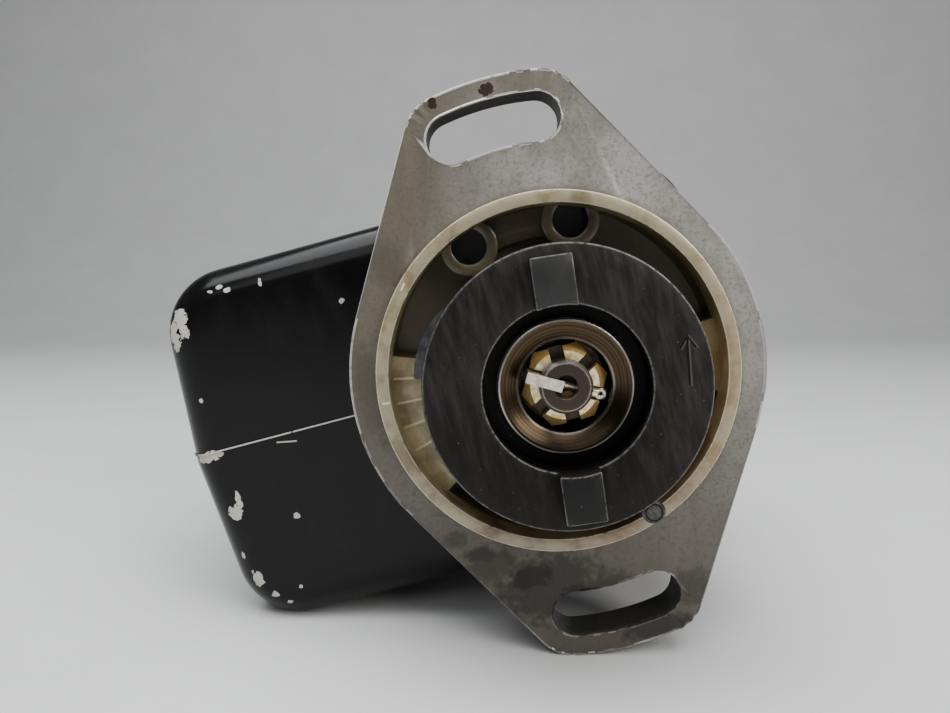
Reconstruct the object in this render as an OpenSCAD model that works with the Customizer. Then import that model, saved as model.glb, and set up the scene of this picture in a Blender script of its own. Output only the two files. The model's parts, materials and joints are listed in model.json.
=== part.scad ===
// Flange-mounted aircraft magneto with a snap coupling on its drive end.
// The pieces are drawn about the drive axis: local Z points out of the drive end,
// local Y runs along the flange's long axis and the mounting face is at Z = 0.
// lay_down() turns each finished piece into the attitude in which the unit rests
// on a bench: one flange ear and one long edge of the body touch the surface.

/* [Flange] */
// Distance between the middles of the two mounting slots
slot_pitch = 111.1; // [108:0.1:116]
// Width of a mounting slot
slot_w = 10.5; // [9:0.1:11.5]
// Swing of a mounting slot about the drive axis, between its end centres
slot_swing = 19.8; // [10:0.2:22]
// Wall left outside a slot
slot_wall = 4.6; // [3.5:0.1:7]
// Radius of the flange's round middle
flange_r = 46; // [44.5:0.1:49]
// Radius of the outer corners of an ear
ear_corner_r = 9; // [6:0.5:11]
// Distance of an ear's corner centres from its middle
ear_half_w = 10.5; // [8:0.5:14]
// Thickness of the flange
flange_t = 10.5; // [8:0.5:13]

/* [Pilot and well] */
// Outer radius of the locating ring
pilot_r = 39.85; // [39.4:0.01:40.4]
// Height of the locating ring above the mounting face
pilot_h = 2.4; // [1.5:0.1:4]
// Radial width of the locating ring
pilot_wall = 2.9; // [2:0.1:3.4]
// Depth of the coupling well below the mounting face
well_depth = 13; // [11:0.5:14]
// Radius of the circle on which the stop pin holes lie
stop_circle_r = 34; // [33:0.1:34.5]
// Swing of a stop pin hole from the flange's long axis
stop_swing = 20.2; // [17:0.2:24]
// Radius of a stop pin hole
stop_hole_r = 3.9; // [3:0.1:4.2]
// Radius of the free end of the stop pin
stop_tip_r = 2.5; // [2:0.1:2.7]
// Reach of the stop pin in front of the mounting face
stop_reach = 12; // [8:0.5:16]
// Depth of the stop pin bosses below the mounting face
stop_boss_depth = 6; // [4:0.5:9]
// Depth of the timing ledge below the mounting face
ledge_depth = 4; // [2.5:0.1:6]

/* [Housing] */
// Reach of the body from the drive axis towards the coil
box_left = 91; // [88:0.5:100]
// Reach of the body from the drive axis away from the coil
box_right = 42; // [41:0.5:48]
// Reach of the body above the drive axis
box_up = 43.5; // [43:0.5:48]
// Reach of the body below the drive axis
box_down = 47.5; // [45:0.5:52]
// Radius of the body's long edges
box_corner_r = 16.5; // [16:0.5:20]
// Radius of the edges at the body's two ends
box_edge_r = 8; // [5:0.5:8]
// Distance of the body's front behind the mounting face
box_front = 18; // [15:0.5:19]
// Distance of the joint between the two castings behind the mounting face
joint_depth = 72; // [70:0.5:76]
// Depth of the rear casting
cover_depth = 44; // [43:0.5:50]
// Wall of both castings
wall = 3.5; // [3:0.1:4]
// Radius of the neck behind the flange
neck_r = 43; // [40:0.5:44]
// Height of the ridge along the mould's parting line
parting_h = 0.35; // [0.2:0.05:0.6]
// Width of the ridge along the mould's parting line
parting_w = 0.8; // [0.5:0.1:1.2]

/* [Snap coupling] */
// Outer radius of the coupling's driven disc
disc_r = 28; // [26.5:0.1:28.2]
// Front face of the driven disc in front of the mounting face
disc_front = 24.2; // [23.5:0.1:27]
// Radius of the recess around the hub
recess_r = 16.25; // [15.5:0.05:17.5]
// Depth of the recess around the hub
recess_depth = 7.2; // [5:0.1:7.5]
// Width of a drive lug
lug_w = 8.1; // [7:0.1:10]
// Height of a drive lug
lug_h = 3.4; // [2.5:0.1:5]
// Distance of a lug's outer end inside the disc's rim
lug_inset = 2.3; // [1:0.1:4]
// Swing of the drive lugs from the flange's long axis
lug_swing = 6.5; // [0:0.5:20]
// Outer radius of the hub
hub_r = 13.8; // [12.8:0.05:14]
// Radius of the hub's plate that carries the flyweights
hub_plate_r = 24; // [23:0.1:25.5]
// Thickness of the hub's plate
hub_plate_t = 3; // [2:0.1:4]
// Thickness of a flyweight
flyweight_t = 5.2; // [4:0.1:5.4]
// Radius of a flyweight's pivot pin
flyweight_pin_r = 2.2; // [1.8:0.05:2.6]
// Distance of a flyweight's pivot from the drive axis
flyweight_pivot_r = 19.6; // [19:0.1:20.2]
// Turns of the coupling's flat spring
spring_turns = 3; // [2:0.5:4]

/* [Shaft and nut] */
// Radius of the shaft's threaded end
thread_r = 5.3; // [5:0.05:5.6]
// Radius of the centre hole in the shaft's end
centre_hole_r = 2.35; // [1.5:0.05:2.6]
// Radius of the shaft under the hub
hub_seat_r = 7; // [6.6:0.05:7.2]
// Radius of the shaft under the magnet
magnet_seat_r = 8.5; // [8:0.1:9.5]
// Radius of the shaft under the cam
cam_seat_r = 4.5; // [4:0.1:5]
// Width of the nut across its flats
nut_af = 15.3; // [14.5:0.1:15.6]
// Height of the nut
nut_h = 7.2; // [6:0.1:7.6]
// Width of a slot in the nut
nut_slot_w = 2.9; // [2.4:0.1:3.2]

/* [Rotor and coil] */
// Radius of the magnet
magnet_r = 24; // [22:0.1:24.2]
// Length of the magnet
magnet_l = 28; // [24:0.5:30]
// Air gap between the magnet and the pole shoes
air_gap = 0.6; // [0.4:0.05:1]
// Radial thickness of a pole shoe
shoe_t = 6; // [5:0.1:7]
// Distance of the coil's axis from the drive axis
coil_offset = 66; // [64:0.5:68]
// Width of the coil across its core
coil_w = 38; // [34:0.5:39]
// Side of the square core through the coil
core_w = 12; // [10:0.5:14]

/* [Bearings] */
// Outer radius of the front bearing
front_od_r = 17.5; // [17:0.1:18]
// Bore radius of the front bearing
front_id_r = 7.5; // [7.3:0.05:7.8]
// Width of the front bearing
front_w = 11; // [10:0.5:12]
// Outer radius of the rear bearing
rear_od_r = 16; // [15.5:0.1:16.5]
// Bore radius of the rear bearing
rear_id_r = 6; // [5.6:0.05:6.4]
// Width of the rear bearing
rear_w = 10; // [9:0.5:11]

/* [Distributor] */
// Distance of the distributor's axis from the drive axis
gear_centres = 42; // [41:0.1:44]
// Teeth of the pinion on the shaft
pinion_teeth = 18; // [17:1:19]
// Width of the distributor gear's rim
gear_w = 6; // [5:0.5:7]
// Radius of the distributor's axle
axle_r = 4; // [3.5:0.1:4.5]
// Radius of the distributor block
block_r = 28.4; // [27:0.1:29]
// Radius of the circle on which the outlet contacts lie
contact_circle_r = 20.5; // [19:0.1:21.5]
// Number of outlet contacts
contact_count = 6; // [4:1:6]
// Radius of an outlet contact
contact_r = 2; // [1.5:0.1:2.5]
// Radius of the circle on which the outlet plate's screw holes lie
outlet_circle_r = 35.5; // [35:0.1:36.5]
// Radius of an outlet plate's screw hole
outlet_hole_r = 1.65; // [1.4:0.05:2]

/* [Breaker] */
// Radius of the cam between its lobes
cam_r = 9; // [8.5:0.1:9.3]
// Lift of a cam lobe
cam_lift = 1.2; // [0.8:0.1:1.4]
// Height of the cam
cam_h = 6; // [5:0.5:7]
// Gap between the contact points with a lobe under the follower
point_gap = 0.4; // [0.3:0.05:0.6]

/* [Screws and plugs] */
// Radius of a casing screw
screw_r = 2.4; // [2:0.1:2.6]
// Radius of a casing screw's head
screw_head_r = 4.3; // [3.8:0.1:4.8]
// Height of a casing screw's head
screw_head_h = 3.4; // [2.5:0.1:4]
// Radius of a bridge screw
bridge_screw_r = 2; // [1.6:0.1:2.2]
// Radius of the timing plug's shank
timing_plug_r = 7; // [6:0.1:8]
// Radius of the vent plug's shank
vent_plug_r = 4.5; // [3.5:0.1:5.5]
// Radius of the switch lead's stud
stud_r = 3; // [2.5:0.1:3.5]

/* [Fits] */
// Radial clearance of a turning fit
run_gap = 0.05; // [0.02:0.01:0.08]
// Clearance between pieces that pass each other
pass_gap = 0.5; // [0.4:0.05:0.6]

/* [Hidden] */
$fn = 64;
cut = 1;

// Flange outline
slot_r = slot_pitch / 2;
ear_tip_r = slot_r + slot_w / 2 + slot_wall;
ear_corner_d = ear_tip_r - ear_corner_r;
ear_corner_y = sqrt(pow(ear_corner_d, 2) - pow(ear_half_w, 2));
ear_corner_a = atan2(ear_corner_y, ear_half_w);
ear_side_a = ear_corner_a - acos((flange_r - ear_corner_r) / ear_corner_d);

// Resting attitude: the ear's corner and the body's long edge reach the same level
rest_run = box_left - box_corner_r - ear_half_w;
rest_rise = ear_corner_y - (box_down - box_corner_r);
lean = atan2(rest_rise, rest_run)
    + asin((ear_corner_r - box_corner_r) / norm([rest_run, rest_rise]));

// Levels behind the mounting face
neck_z = -flange_t;
well_z = -well_depth;
box_z = -box_front;
cavity_z = -box_front - wall;
joint_z = -joint_depth;
rear_z = joint_z - cover_depth;
cover_floor_z = rear_z + wall;
well_r = pilot_r - pilot_wall;
box_half = min(box_up, box_down);
box_mid = (box_up - box_down) / 2;
draft = asin(0.07584);
box_flat = (box_up + box_down) / 2 - box_corner_r;
box_reach = box_left - box_corner_r + (box_corner_r + box_flat * sin(draft)) / cos(draft);
spot_face = 0.8;
plug_lip = 2;
seat_depth = box_reach - spot_face - box_left + wall;
land_t = 5;
land_back_z = joint_z + land_t;

// Bosses, ledges and timing lines in the well
stop_boss_wall = 2.7;
ledge_in_r = 26;
shelf_in_r = 30;
shelf_depth = 9;
ledge_spans = [[160, 214], [-22, 4], [-58, -36]];
timing_as = [170, 180, 190];
timing_r = [31, 35.5];
timing_w = 0.6;
timing_cut = 0.4;

// Front bearing and seal
seal_t = 5.5;
spacer_r = front_id_r + 2;
seal_wall = 4.5;
seal_r = spacer_r + seal_wall;
seal_back_z = well_z - seal_t;
bearing_shoulder = 1.5;
front_z = seal_back_z - bearing_shoulder;
front_back_z = front_z - front_w;
front_boss_r = front_od_r + 4.5;

// Magnet and pole shoes
magnet_gap = 2;
magnet_back_z = land_back_z + magnet_gap;
magnet_z = magnet_back_z + magnet_l;
shoe_r = magnet_r + air_gap;
shoe_out = shoe_r + shoe_t;
shoe_in = shoe_r + 0.4;
shoe_over = 1;
shoe_as = [40, 80, 120];
leg_out = shoe_out - 0.5;
leg_end = -4;
land_w = 10;
land_x = [-coil_offset + core_w / 2, leg_end - land_w - 4];
coil_front_gap = 2.5;
coil_back_gap = 5;
coil_front_z = cavity_z - coil_front_gap;
coil_back_z = land_back_z + coil_back_gap;
coil_z = (coil_front_z + coil_back_z) / 2;
coil_end_gap = 3;
coil_corner_r = 8;

// Bearing bridge
bridge_t = land_t;
bridge_hub_r = rear_od_r + 4;
bridge_half = box_half - wall - pass_gap;
rear_z0 = land_back_z;
rear_back_z = rear_z0 - rear_w;
bridge_back_z = rear_back_z - 2;
bridge_screw_y = (leg_out + box_half - wall) / 2;
bridge_screw_x = [for (x = land_x) x + land_w / 2];
bridge_bite = 8;
bridge_head_lip = 1.6;
bridge_head_h = 2.6;

// Distributor gears: the gear turns once for three turns of the shaft
gear_ratio = 3;
backlash = 0.15;
gear_teeth = pinion_teeth * gear_ratio;
tooth_m = 2 * gear_centres / (pinion_teeth + gear_teeth);
gear_z = bridge_back_z - 1.5;
gear_back_z = gear_z - gear_w;
gear_hub_back_z = gear_back_z - 4;
gear_hub_r = axle_r + 5;
pinion_back_z = gear_back_z - 1;
finger_t = 1.6;
finger_back_z = gear_hub_back_z - finger_t;
block_z = finger_back_z - 3;
block_flange_r = block_r + 1.6;
block_flange_t = 5;
contact_front_z = finger_back_z - 0.8;
contact_cup_depth = 3;
block_back_z = rear_z + 0.6;
block_opening_r = block_r + 0.2;
brush_l = 10;
outlet_boss_wall = 2.3;
outlet_boss_h = 5;

// Casing screws
screw_in = 11;
screw_post_r = 6;
screw_post_l = 22;
screw_bite = 12;
screw_x = [screw_in - box_left, box_right - screw_in];
screw_y = [screw_in - box_down, box_up - screw_in];
screw_xy = [for (x = screw_x, y = screw_y) [x, y]];

// Breaker
breaker_plate_t = 2;
breaker_plate_z = pinion_back_z - 2;
breaker_plate_back_z = breaker_plate_z - breaker_plate_t;
cam_z = breaker_plate_back_z + 1;
cam_back_z = cam_z - cam_h;
arm_z = breaker_plate_back_z - 1;
arm_back_z = arm_z - 4;
arm_x = 24;
arm_t = 3;
arm_y = 18;
point_y = -14;
pivot_r = 2;
follower_x = cam_r + cam_lift + 0.3;
follower_w = 5;
point_r = 1.8;
point_l = 1;
leaf_t = 0.5;
leaf_in = 0.6;
leaf_foot = 5;
post_r = 3;
post_x = 16;
plate_margin = 4;
post_y = box_half - screw_in - screw_post_r - plate_margin - 2 * pass_gap;

// Condenser
condenser_x = 8;
condenser_y = -29;
condenser_r = 8;
condenser_l = 15;
stud_l = 7;
stud_tip_r = stud_r - 0.4;
stud_nut_h = 4;

// Snap coupling levels
plate_z = 0;
plate_back_z = plate_z - hub_plate_t;
flyweight_z = plate_z + pass_gap;
disc_back = flyweight_z + flyweight_t + pass_gap;
recess_z = disc_front - recess_depth;
web_t = 2.8;
web_z = recess_z - web_t;
rim_t = 3.3;
hub_back_z = well_z + 5;
hub_front = disc_front - 3.4;
washer_t = 1.5;
nut_z = hub_front - 10;
nut_front = nut_z + nut_h;
nut_seat_z = nut_z - washer_t;
nut_well_r = nut_af / sqrt(3) + 0.4;
shaft_front = hub_front + 0.6;
nut_slot_depth = nut_h * 0.45;
cotter_z = nut_front - nut_slot_depth + 1.2;
cotter_a = 150;
cotter_r = 1.1;
cotter_eye_r = 0.8;
spring_t = 0.8;
spring_in_r = hub_r + 0.6;
spring_out_r = disc_r - rim_t - 0.6;
spring_z = [disc_back + 1.2, web_z - 1];

// Placing and repeated forms

module lay_down() rotate([0, -lean, 0]) rotate([90, 0, 0]) children();

module drum(r, z0, z1) translate([0, 0, min(z0, z1)]) cylinder(r = r, h = abs(z1 - z0));

module pipe(ro, ri, z0, z1) {
    difference() {
        drum(ro, z0, z1);
        drum(ri, min(z0, z1) - cut, max(z0, z1) + cut);
    }
}

module slab(z0, z1) translate([0, 0, min(z0, z1)]) linear_extrude(abs(z1 - z0)) children();

module arc_block(ri, ro, a0, a1, z0, z1) {
    translate([0, 0, min(z0, z1)])
        rotate(a0)
            rotate_extrude(angle = a1 - a0)
                translate([ri, 0]) square([ro - ri, abs(z1 - z0)]);
}

module block(x0, x1, y0, y1, z0, z1) {
    translate([min(x0, x1), min(y0, y1), min(z0, z1)])
        cube([abs(x1 - x0), abs(y1 - y0), abs(z1 - z0)]);
}

// Half section of a capped column with a rounded rim
module rim_profile(w, edge, h) {
    square([w, h - edge]);
    square([w - edge, h]);
    translate([w - edge, h - edge]) circle(edge);
}

module cap_profile(w, edge, h) {
    rim_profile(w, edge, h);
    mirror([1, 0]) rim_profile(w, edge, h);
}

// Box with rounded long edges and one rounded end, standing on Z = 0.
// Its left side slopes back both ways from the middle by the moulding draft
module rounded_cap(x0, x1, y0, y1, corner, edge, h) {
    flat = (y1 - y0) / 2 - corner;
    translate([0, (y0 + y1) / 2, 0]) for (m = [0, 1]) mirror([0, m, 0]) {
        for (x = [x0 + corner, x1 - corner])
            translate([x, flat, 0]) rotate_extrude() rim_profile(corner, edge, h);
        translate([x0 + corner, 0, 0])
            rotate([90, 0, 90]) linear_extrude(x1 - x0 - 2 * corner) rim_profile(flat + corner, edge, h);
        translate([x0 + corner, flat, 0])
            rotate([90, 0, 0]) linear_extrude(flat) rim_profile(x1 - x0 - corner, edge, h);
        intersection() {
            translate([x0 + corner, flat, 0]) rotate(180 - draft) translate([-corner / 2, 2 * flat, 0])
                rotate([90, 0, 0]) linear_extrude(2 * flat) rim_profile(1.5 * corner, edge, h);
            block(2 * x0, x1, 0, flat + corner, 0, h);
        }
    }
}

module rounded_prism(x0, x1, y0, y1, corner, z0, z1) {
    for (x = [x0 + corner, x1 - corner], y = [y0 + corner, y1 - corner])
        translate([x, y, 0]) drum(corner, z0, z1);
    block(x0 + corner, x1 - corner, y0, y1, z0, z1);
    block(x0, x1, y0 + corner, y1 - corner, z0, z1);
}

// Castings

module ear_outline() {
    side = [cos(ear_side_a), sin(ear_side_a)];
    corner = [ear_half_w, ear_corner_y];
    tip = ear_tip_r * [cos(ear_corner_a), sin(ear_corner_a)];
    right = [flange_r * side, corner + ear_corner_r * side, corner];
    left = [for (i = [2:-1:0]) [-right[i].x, right[i].y]];
    polygon(concat(right, left));
    for (m = [-1, 1]) translate([m * ear_half_w, ear_corner_y]) circle(ear_corner_r);
    intersection() {
        circle(ear_tip_r);
        polygon([[0, 0], 2 * tip, 2 * [-tip.x, tip.y]]);
    }
}

module flange_plate() {
    drum(flange_r, neck_z, 0);
    for (a = [0, 180]) rotate(a) slab(neck_z, 0) ear_outline();
}

module slot_cut() {
    z0 = neck_z - cut;
    arc_block(slot_r - slot_w / 2, slot_r + slot_w / 2, 90 - slot_swing / 2, 90 + slot_swing / 2, z0, cut);
    for (s = [-1, 1]) rotate(s * slot_swing / 2) translate([0, slot_r, 0]) drum(slot_w / 2, z0, cut);
}

module stop_places() {
    for (a = [0, 180], s = [-1, 1]) rotate(a + s * stop_swing) translate([0, stop_circle_r, 0]) children();
}

// Wall between the coupling well and the magnet, with its bosses and ledges
module well_features() {
    stop_places() drum(stop_hole_r + stop_boss_wall, well_z - cut, -stop_boss_depth);
    for (s = ledge_spans) arc_block(ledge_in_r, well_r + cut, s[0], s[1], well_z - cut, -ledge_depth);
    for (a = [90, 270])
        arc_block(shelf_in_r, well_r + cut, a - stop_swing, a + stop_swing, well_z - cut, -shelf_depth);
}

module timing_lines() {
    for (a = timing_as) rotate(a)
        block(timing_r[0], timing_r[1], -timing_w / 2, timing_w / 2, -ledge_depth - timing_cut, cut);
}

module box_shell() {
    translate([0, 0, joint_z])
        rounded_cap(-box_left, box_right, -box_down, box_up, box_corner_r, box_edge_r,
            joint_depth - box_front);
    intersection() {
        translate([0, 0, joint_z])
            rounded_cap(-box_left - parting_h, box_right + parting_h, -box_down - parting_h, box_up + parting_h,
                box_corner_r + parting_h, box_edge_r + parting_h / 2,
                joint_depth - box_front + parting_h);
        block(-2 * box_left, 2 * box_left, -parting_w / 2, parting_w / 2, joint_z, 0);
    }
}

module box_hollow(z0, z1) {
    rounded_prism(wall - box_left, box_right - wall, wall - box_down, box_up - wall,
        box_corner_r - wall, z0, z1);
}

module box_fittings() {
    drum(front_boss_r, cavity_z + cut, front_back_z);
    for (p = screw_xy) translate(p) drum(screw_post_r, joint_z, joint_z + screw_post_l);
    for (x = land_x, y = [box_up - wall / 2, wall / 2 - box_down])
        block(x, x + land_w, sign(y) * leg_out, y, cavity_z + cut, land_back_z);
}

module drive_housing() color("dimgray") lay_down() {
    difference() {
        union() {
            difference() {
                union() {
                    flange_plate();
                    drum(pilot_r, neck_z, pilot_h);
                    drum(neck_r, neck_z, cavity_z);
                    box_shell();
                }
                drum(well_r, well_z, pilot_h + cut);
                box_hollow(joint_z - cut, cavity_z);
            }
            intersection() {
                drum(well_r + cut / 2, well_z - cut, 0);
                well_features();
            }
            box_fittings();
        }
        for (a = [0, 180]) rotate(a) slot_cut();
        stop_places() drum(stop_hole_r, well_z - 2, cut);
        timing_lines();
        drum(seal_r, seal_back_z, cut);
        drum(seal_r - 1.5, front_z - cut, cut);
        drum(front_od_r, front_back_z - cut, front_z);
        for (p = screw_xy) translate(p) drum(screw_r, joint_z - cut, joint_z + screw_bite);
        for (x = bridge_screw_x, s = [-1, 1])
            translate([x, s * bridge_screw_y, 0])
                drum(bridge_screw_r, land_back_z - cut, land_back_z + bridge_bite + 1);
    }
}

module outlet_places() {
    for (i = [0:3]) translate([-gear_centres, 0, 0]) rotate(45 + 90 * i)
        translate([outlet_circle_r, 0, 0]) children();
}

module distributor_housing() color([0.1, 0.1, 0.1]) lay_down() {
    difference() {
        union() {
            difference() {
                translate([0, 0, joint_z]) mirror([0, 0, 1])
                    rounded_cap(-box_left, box_right, -box_down, box_up, box_corner_r, box_edge_r, cover_depth);
                box_hollow(cover_floor_z, joint_z + cut);
            }
            for (p = screw_xy) translate(p) drum(screw_post_r, cover_floor_z - cut, joint_z);
            outlet_places()
                drum(outlet_hole_r + outlet_boss_wall, cover_floor_z - cut, cover_floor_z + outlet_boss_h);
        }
        translate([-gear_centres, 0, 0]) drum(block_opening_r, rear_z - cut, joint_z);
        for (p = screw_xy) translate(p) drum(screw_r, rear_z - cut, joint_z + cut);
        outlet_places() drum(outlet_hole_r, rear_z - cut, cover_floor_z + outlet_boss_h + cut);
        translate([condenser_x, condenser_y, 0]) drum(stud_r, rear_z - cut, joint_z);
        plug_place(-1) drum(timing_plug_r, -cut, seat_depth + cut);
        plug_place(-1) drum(timing_plug_r + plug_lip + 0.5, -2 * cut, 0);
        plug_place(1) drum(vent_plug_r, -cut, wall + cut);
    }
}

// A plug's axis: its local Z runs inwards from the outer face of the rear casting's end
module plug_place(side) {
    translate([side < 0 ? wall - box_left - seat_depth : box_right, box_mid, (joint_z + rear_z) / 2])
        rotate([0, side < 0 ? 90 : -90, 0]) children();
}

module housing_screws() color("silver") lay_down() {
    for (p = screw_xy) translate(p) {
        drum(screw_r, rear_z, joint_z + screw_bite - 1);
        difference() {
            drum(screw_head_r, rear_z - screw_head_h, rear_z);
            block(-0.6, 0.6, -2 * screw_head_r, 2 * screw_head_r,
                rear_z - screw_head_h - cut, rear_z - screw_head_h + 1.2);
        }
    }
}

module plug_body(shank_r, shank_l, head_r, head_h) {
    drum(shank_r, 0, shank_l);
    difference() {
        drum(head_r, -head_h, 0);
        block(-0.8, 0.8, -2 * head_r, 2 * head_r, -head_h - cut, -head_h + 1);
    }
}

module timing_plug() color("black") lay_down() plug_place(-1)
    plug_body(timing_plug_r, seat_depth, timing_plug_r + plug_lip, 2.6);

module vent_plug() color("black") lay_down() plug_place(1) {
    difference() {
        plug_body(vent_plug_r, wall, vent_plug_r + 1.6, 2.2);
        drum(vent_plug_r - 2.6, -3 * cut, wall + cut);
    }
}

// Pieces seated in the castings

module stop_pin() color("gray") lay_down() {
    rotate(180 + stop_swing) translate([0, stop_circle_r, 0]) {
        drum(stop_hole_r, well_z - 2, -stop_boss_depth + 0.5);
        drum(stop_tip_r, -stop_boss_depth, stop_reach - 0.6);
        translate([0, 0, stop_reach - 0.6]) cylinder(r1 = stop_tip_r, r2 = stop_tip_r - 0.6, h = 0.6);
    }
}

module oil_seal() color("black") lay_down() {
    rotate_extrude() polygon([
        [seal_r, seal_back_z], [seal_r, well_z], [spacer_r + 1.6, well_z],
        [spacer_r + 1.6, well_z - 2], [spacer_r + run_gap, well_z - 2.6],
        [spacer_r + run_gap, well_z - 3.4], [spacer_r + 1.6, seal_back_z]]);
}

// Ball bearing between two radii: rings with a groove, and the balls in it
function ball_r(ro, ri) = (ro - ri) * 0.27;

module race_ring(r0, r1, ro, ri, z0, w) {
    difference() {
        pipe(max(r0, r1), min(r0, r1), z0, z0 - w);
        translate([0, 0, z0 - w / 2])
            rotate_extrude() translate([(ro + ri) / 2, 0]) circle(ball_r(ro, ri) + run_gap);
    }
}

module ball_set(ro, ri, z0, w) {
    pitch_r = (ro + ri) / 2;
    count = floor(PI * pitch_r / ball_r(ro, ri) * 0.85);
    for (i = [0:count - 1])
        rotate(360 * i / count) translate([pitch_r, 0, z0 - w / 2]) sphere(ball_r(ro, ri));
}

function race_t(ro, ri) = (ro - ri) * 0.33;

module front_bearing_outer_ring() color("silver") lay_down()
    race_ring(front_od_r, front_od_r - race_t(front_od_r, front_id_r),
        front_od_r, front_id_r, front_z, front_w);

module front_bearing_inner_ring() color("silver") lay_down()
    race_ring(front_id_r, front_id_r + race_t(front_od_r, front_id_r),
        front_od_r, front_id_r, front_z, front_w);

module front_bearing_balls() color("gainsboro") lay_down() ball_set(front_od_r, front_id_r, front_z, front_w);

module rear_bearing_outer_ring() color("silver") lay_down()
    race_ring(rear_od_r, rear_od_r - race_t(rear_od_r, rear_id_r),
        rear_od_r, rear_id_r, rear_z0, rear_w);

module rear_bearing_inner_ring() color("silver") lay_down()
    race_ring(rear_id_r, rear_id_r + race_t(rear_od_r, rear_id_r),
        rear_od_r, rear_id_r, rear_z0, rear_w);

module rear_bearing_balls() color("gainsboro") lay_down() ball_set(rear_od_r, rear_id_r, rear_z0, rear_w);

module bearing_bridge() color("lightgray") lay_down() {
    difference() {
        union() {
            rounded_prism(land_x[0] - 2, bridge_hub_r + 2, -bridge_half, bridge_half, 6, land_back_z, joint_z);
            drum(bridge_hub_r, land_back_z, bridge_back_z);
            translate([-gear_centres, 0, 0]) drum(gear_hub_r, land_back_z, bridge_back_z);
        }
        drum(rear_od_r, rear_back_z, land_back_z + cut);
        drum(rear_od_r - 3, bridge_back_z - cut, land_back_z);
        translate([-gear_centres, 0, 0]) drum(axle_r, bridge_back_z - cut, land_back_z + cut);
        for (s = [-1, 1]) {
            for (x = bridge_screw_x) translate([x, s * bridge_screw_y, 0])
                drum(bridge_screw_r, joint_z - cut, land_back_z + cut);
            translate([post_x, s * post_y, 0]) drum(bridge_screw_r, joint_z - cut, land_back_z + cut);
        }
    }
}

module bridge_screws() color("silver") lay_down() {
    for (x = bridge_screw_x, s = [-1, 1]) translate([x, s * bridge_screw_y, 0]) {
        drum(bridge_screw_r, joint_z, land_back_z + bridge_bite);
        drum(bridge_screw_r + bridge_head_lip, joint_z - bridge_head_h, joint_z);
    }
}

// Laminated shoe over one side of the magnet, with a leg out to the coil's core
module pole_shoe(side) {
    leg_x = -coil_offset - core_w / 2;
    slab(magnet_back_z - shoe_over, magnet_z + shoe_over) {
        intersection() {
            difference() {
                circle(shoe_out);
                circle(shoe_r);
            }
            polygon(concat([[0, 0]], [for (a = shoe_as) 2 * shoe_out * [cos(a), side * sin(a)]]));
        }
        translate([leg_x, side > 0 ? shoe_in : -leg_out]) square([leg_end - leg_x, leg_out - shoe_in]);
    }
}

module upper_pole_shoe() color("slategray") lay_down() pole_shoe(1);

module lower_pole_shoe() color("slategray") lay_down() pole_shoe(-1);

module coil_core() color("slategray") lay_down()
    block(-coil_offset - core_w / 2, -coil_offset + core_w / 2, -shoe_in, shoe_in,
        coil_z - core_w / 2, coil_z + core_w / 2);

module coil_winding() color("saddlebrown") lay_down() {
    half_l = shoe_in - coil_end_gap;
    half_d = (coil_front_z - coil_back_z) / 2;
    difference() {
        translate([-coil_offset, half_l, coil_z]) rotate([90, 0, 0])
            rounded_prism(-coil_w / 2, coil_w / 2, -half_d, half_d, coil_corner_r, 0, 2 * half_l);
        block(-coil_offset - core_w / 2, -coil_offset + core_w / 2, -2 * half_l, 2 * half_l,
            coil_z - core_w / 2, coil_z + core_w / 2);
    }
}

// Distributor

function involute(a) = tan(a) - a * PI / 180;

// Outline of a spur gear's tooth flank from root to tip, as radius and half angle
function flank(n, m) = let (
        rp = n * m / 2,
        rb = rp * cos(20),
        half = 90 / n - backlash / rp * 90 / PI,
        rt = rp + m)
    concat([[rp - 1.25 * m, half + involute(20) * 180 / PI]],
        [for (i = [0:3]) let (r = rb * 1.001 + (rt - rb * 1.001) * i / 3)
            [r, half + (involute(20) - involute(acos(rb / r))) * 180 / PI]]);

module spur_gear(n, m) {
    half = flank(n, m);
    last = len(half) - 1;
    tooth = concat([for (p = half) [p[0], -p[1]]], [for (i = [last:-1:0]) half[i]]);
    polygon([for (k = [0:n - 1], p = tooth) let (a = k * 360 / n + p[1]) p[0] * [cos(a), sin(a)]]);
}

module distributor_axle() color("silver") lay_down()
    translate([-gear_centres, 0, 0]) drum(axle_r, gear_hub_back_z + 0.5, land_back_z);

module distributor_gear() color("burlywood") lay_down() translate([-gear_centres, 0, 0]) {
    difference() {
        union() {
            rotate(180 / gear_teeth) slab(gear_z, gear_back_z) spur_gear(gear_teeth, tooth_m);
            drum(gear_hub_r, gear_z + 1, gear_hub_back_z);
        }
        drum(axle_r + run_gap, gear_hub_back_z - cut, gear_z + 2 * cut);
        for (i = [0:5]) rotate(60 * i + 30) translate([gear_hub_r + 9, 0, 0])
            drum(5.5, gear_back_z - cut, gear_z + cut);
    }
}

module distributor_finger() color("goldenrod") lay_down() translate([-gear_centres, 0, 0]) {
    drum(gear_hub_r - 1, gear_hub_back_z, finger_back_z);
    block(0, contact_circle_r + contact_r, -3, 3, gear_hub_back_z, finger_back_z);
}

module contact_places() {
    for (i = [0:contact_count - 1])
        translate([-gear_centres, 0, 0]) rotate(360 * (i + 0.5) / contact_count)
            translate([contact_circle_r, 0, 0]) children();
}

module distributor_block() color("maroon") lay_down() {
    difference() {
        translate([-gear_centres, 0, 0]) {
            drum(block_r, block_z, block_back_z);
            drum(block_flange_r, cover_floor_z + block_flange_t, cover_floor_z);
        }
        contact_places() {
            drum(contact_r, block_back_z - cut, block_z + cut);
            drum(contact_r + 1.6, block_back_z - cut, block_back_z + contact_cup_depth);
        }
        translate([-gear_centres, 0, 0]) drum(contact_r, block_z - brush_l, block_z + cut);
    }
}

module outlet_contacts() color("goldenrod") lay_down()
    contact_places() drum(contact_r, block_back_z + contact_cup_depth, contact_front_z);

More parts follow.
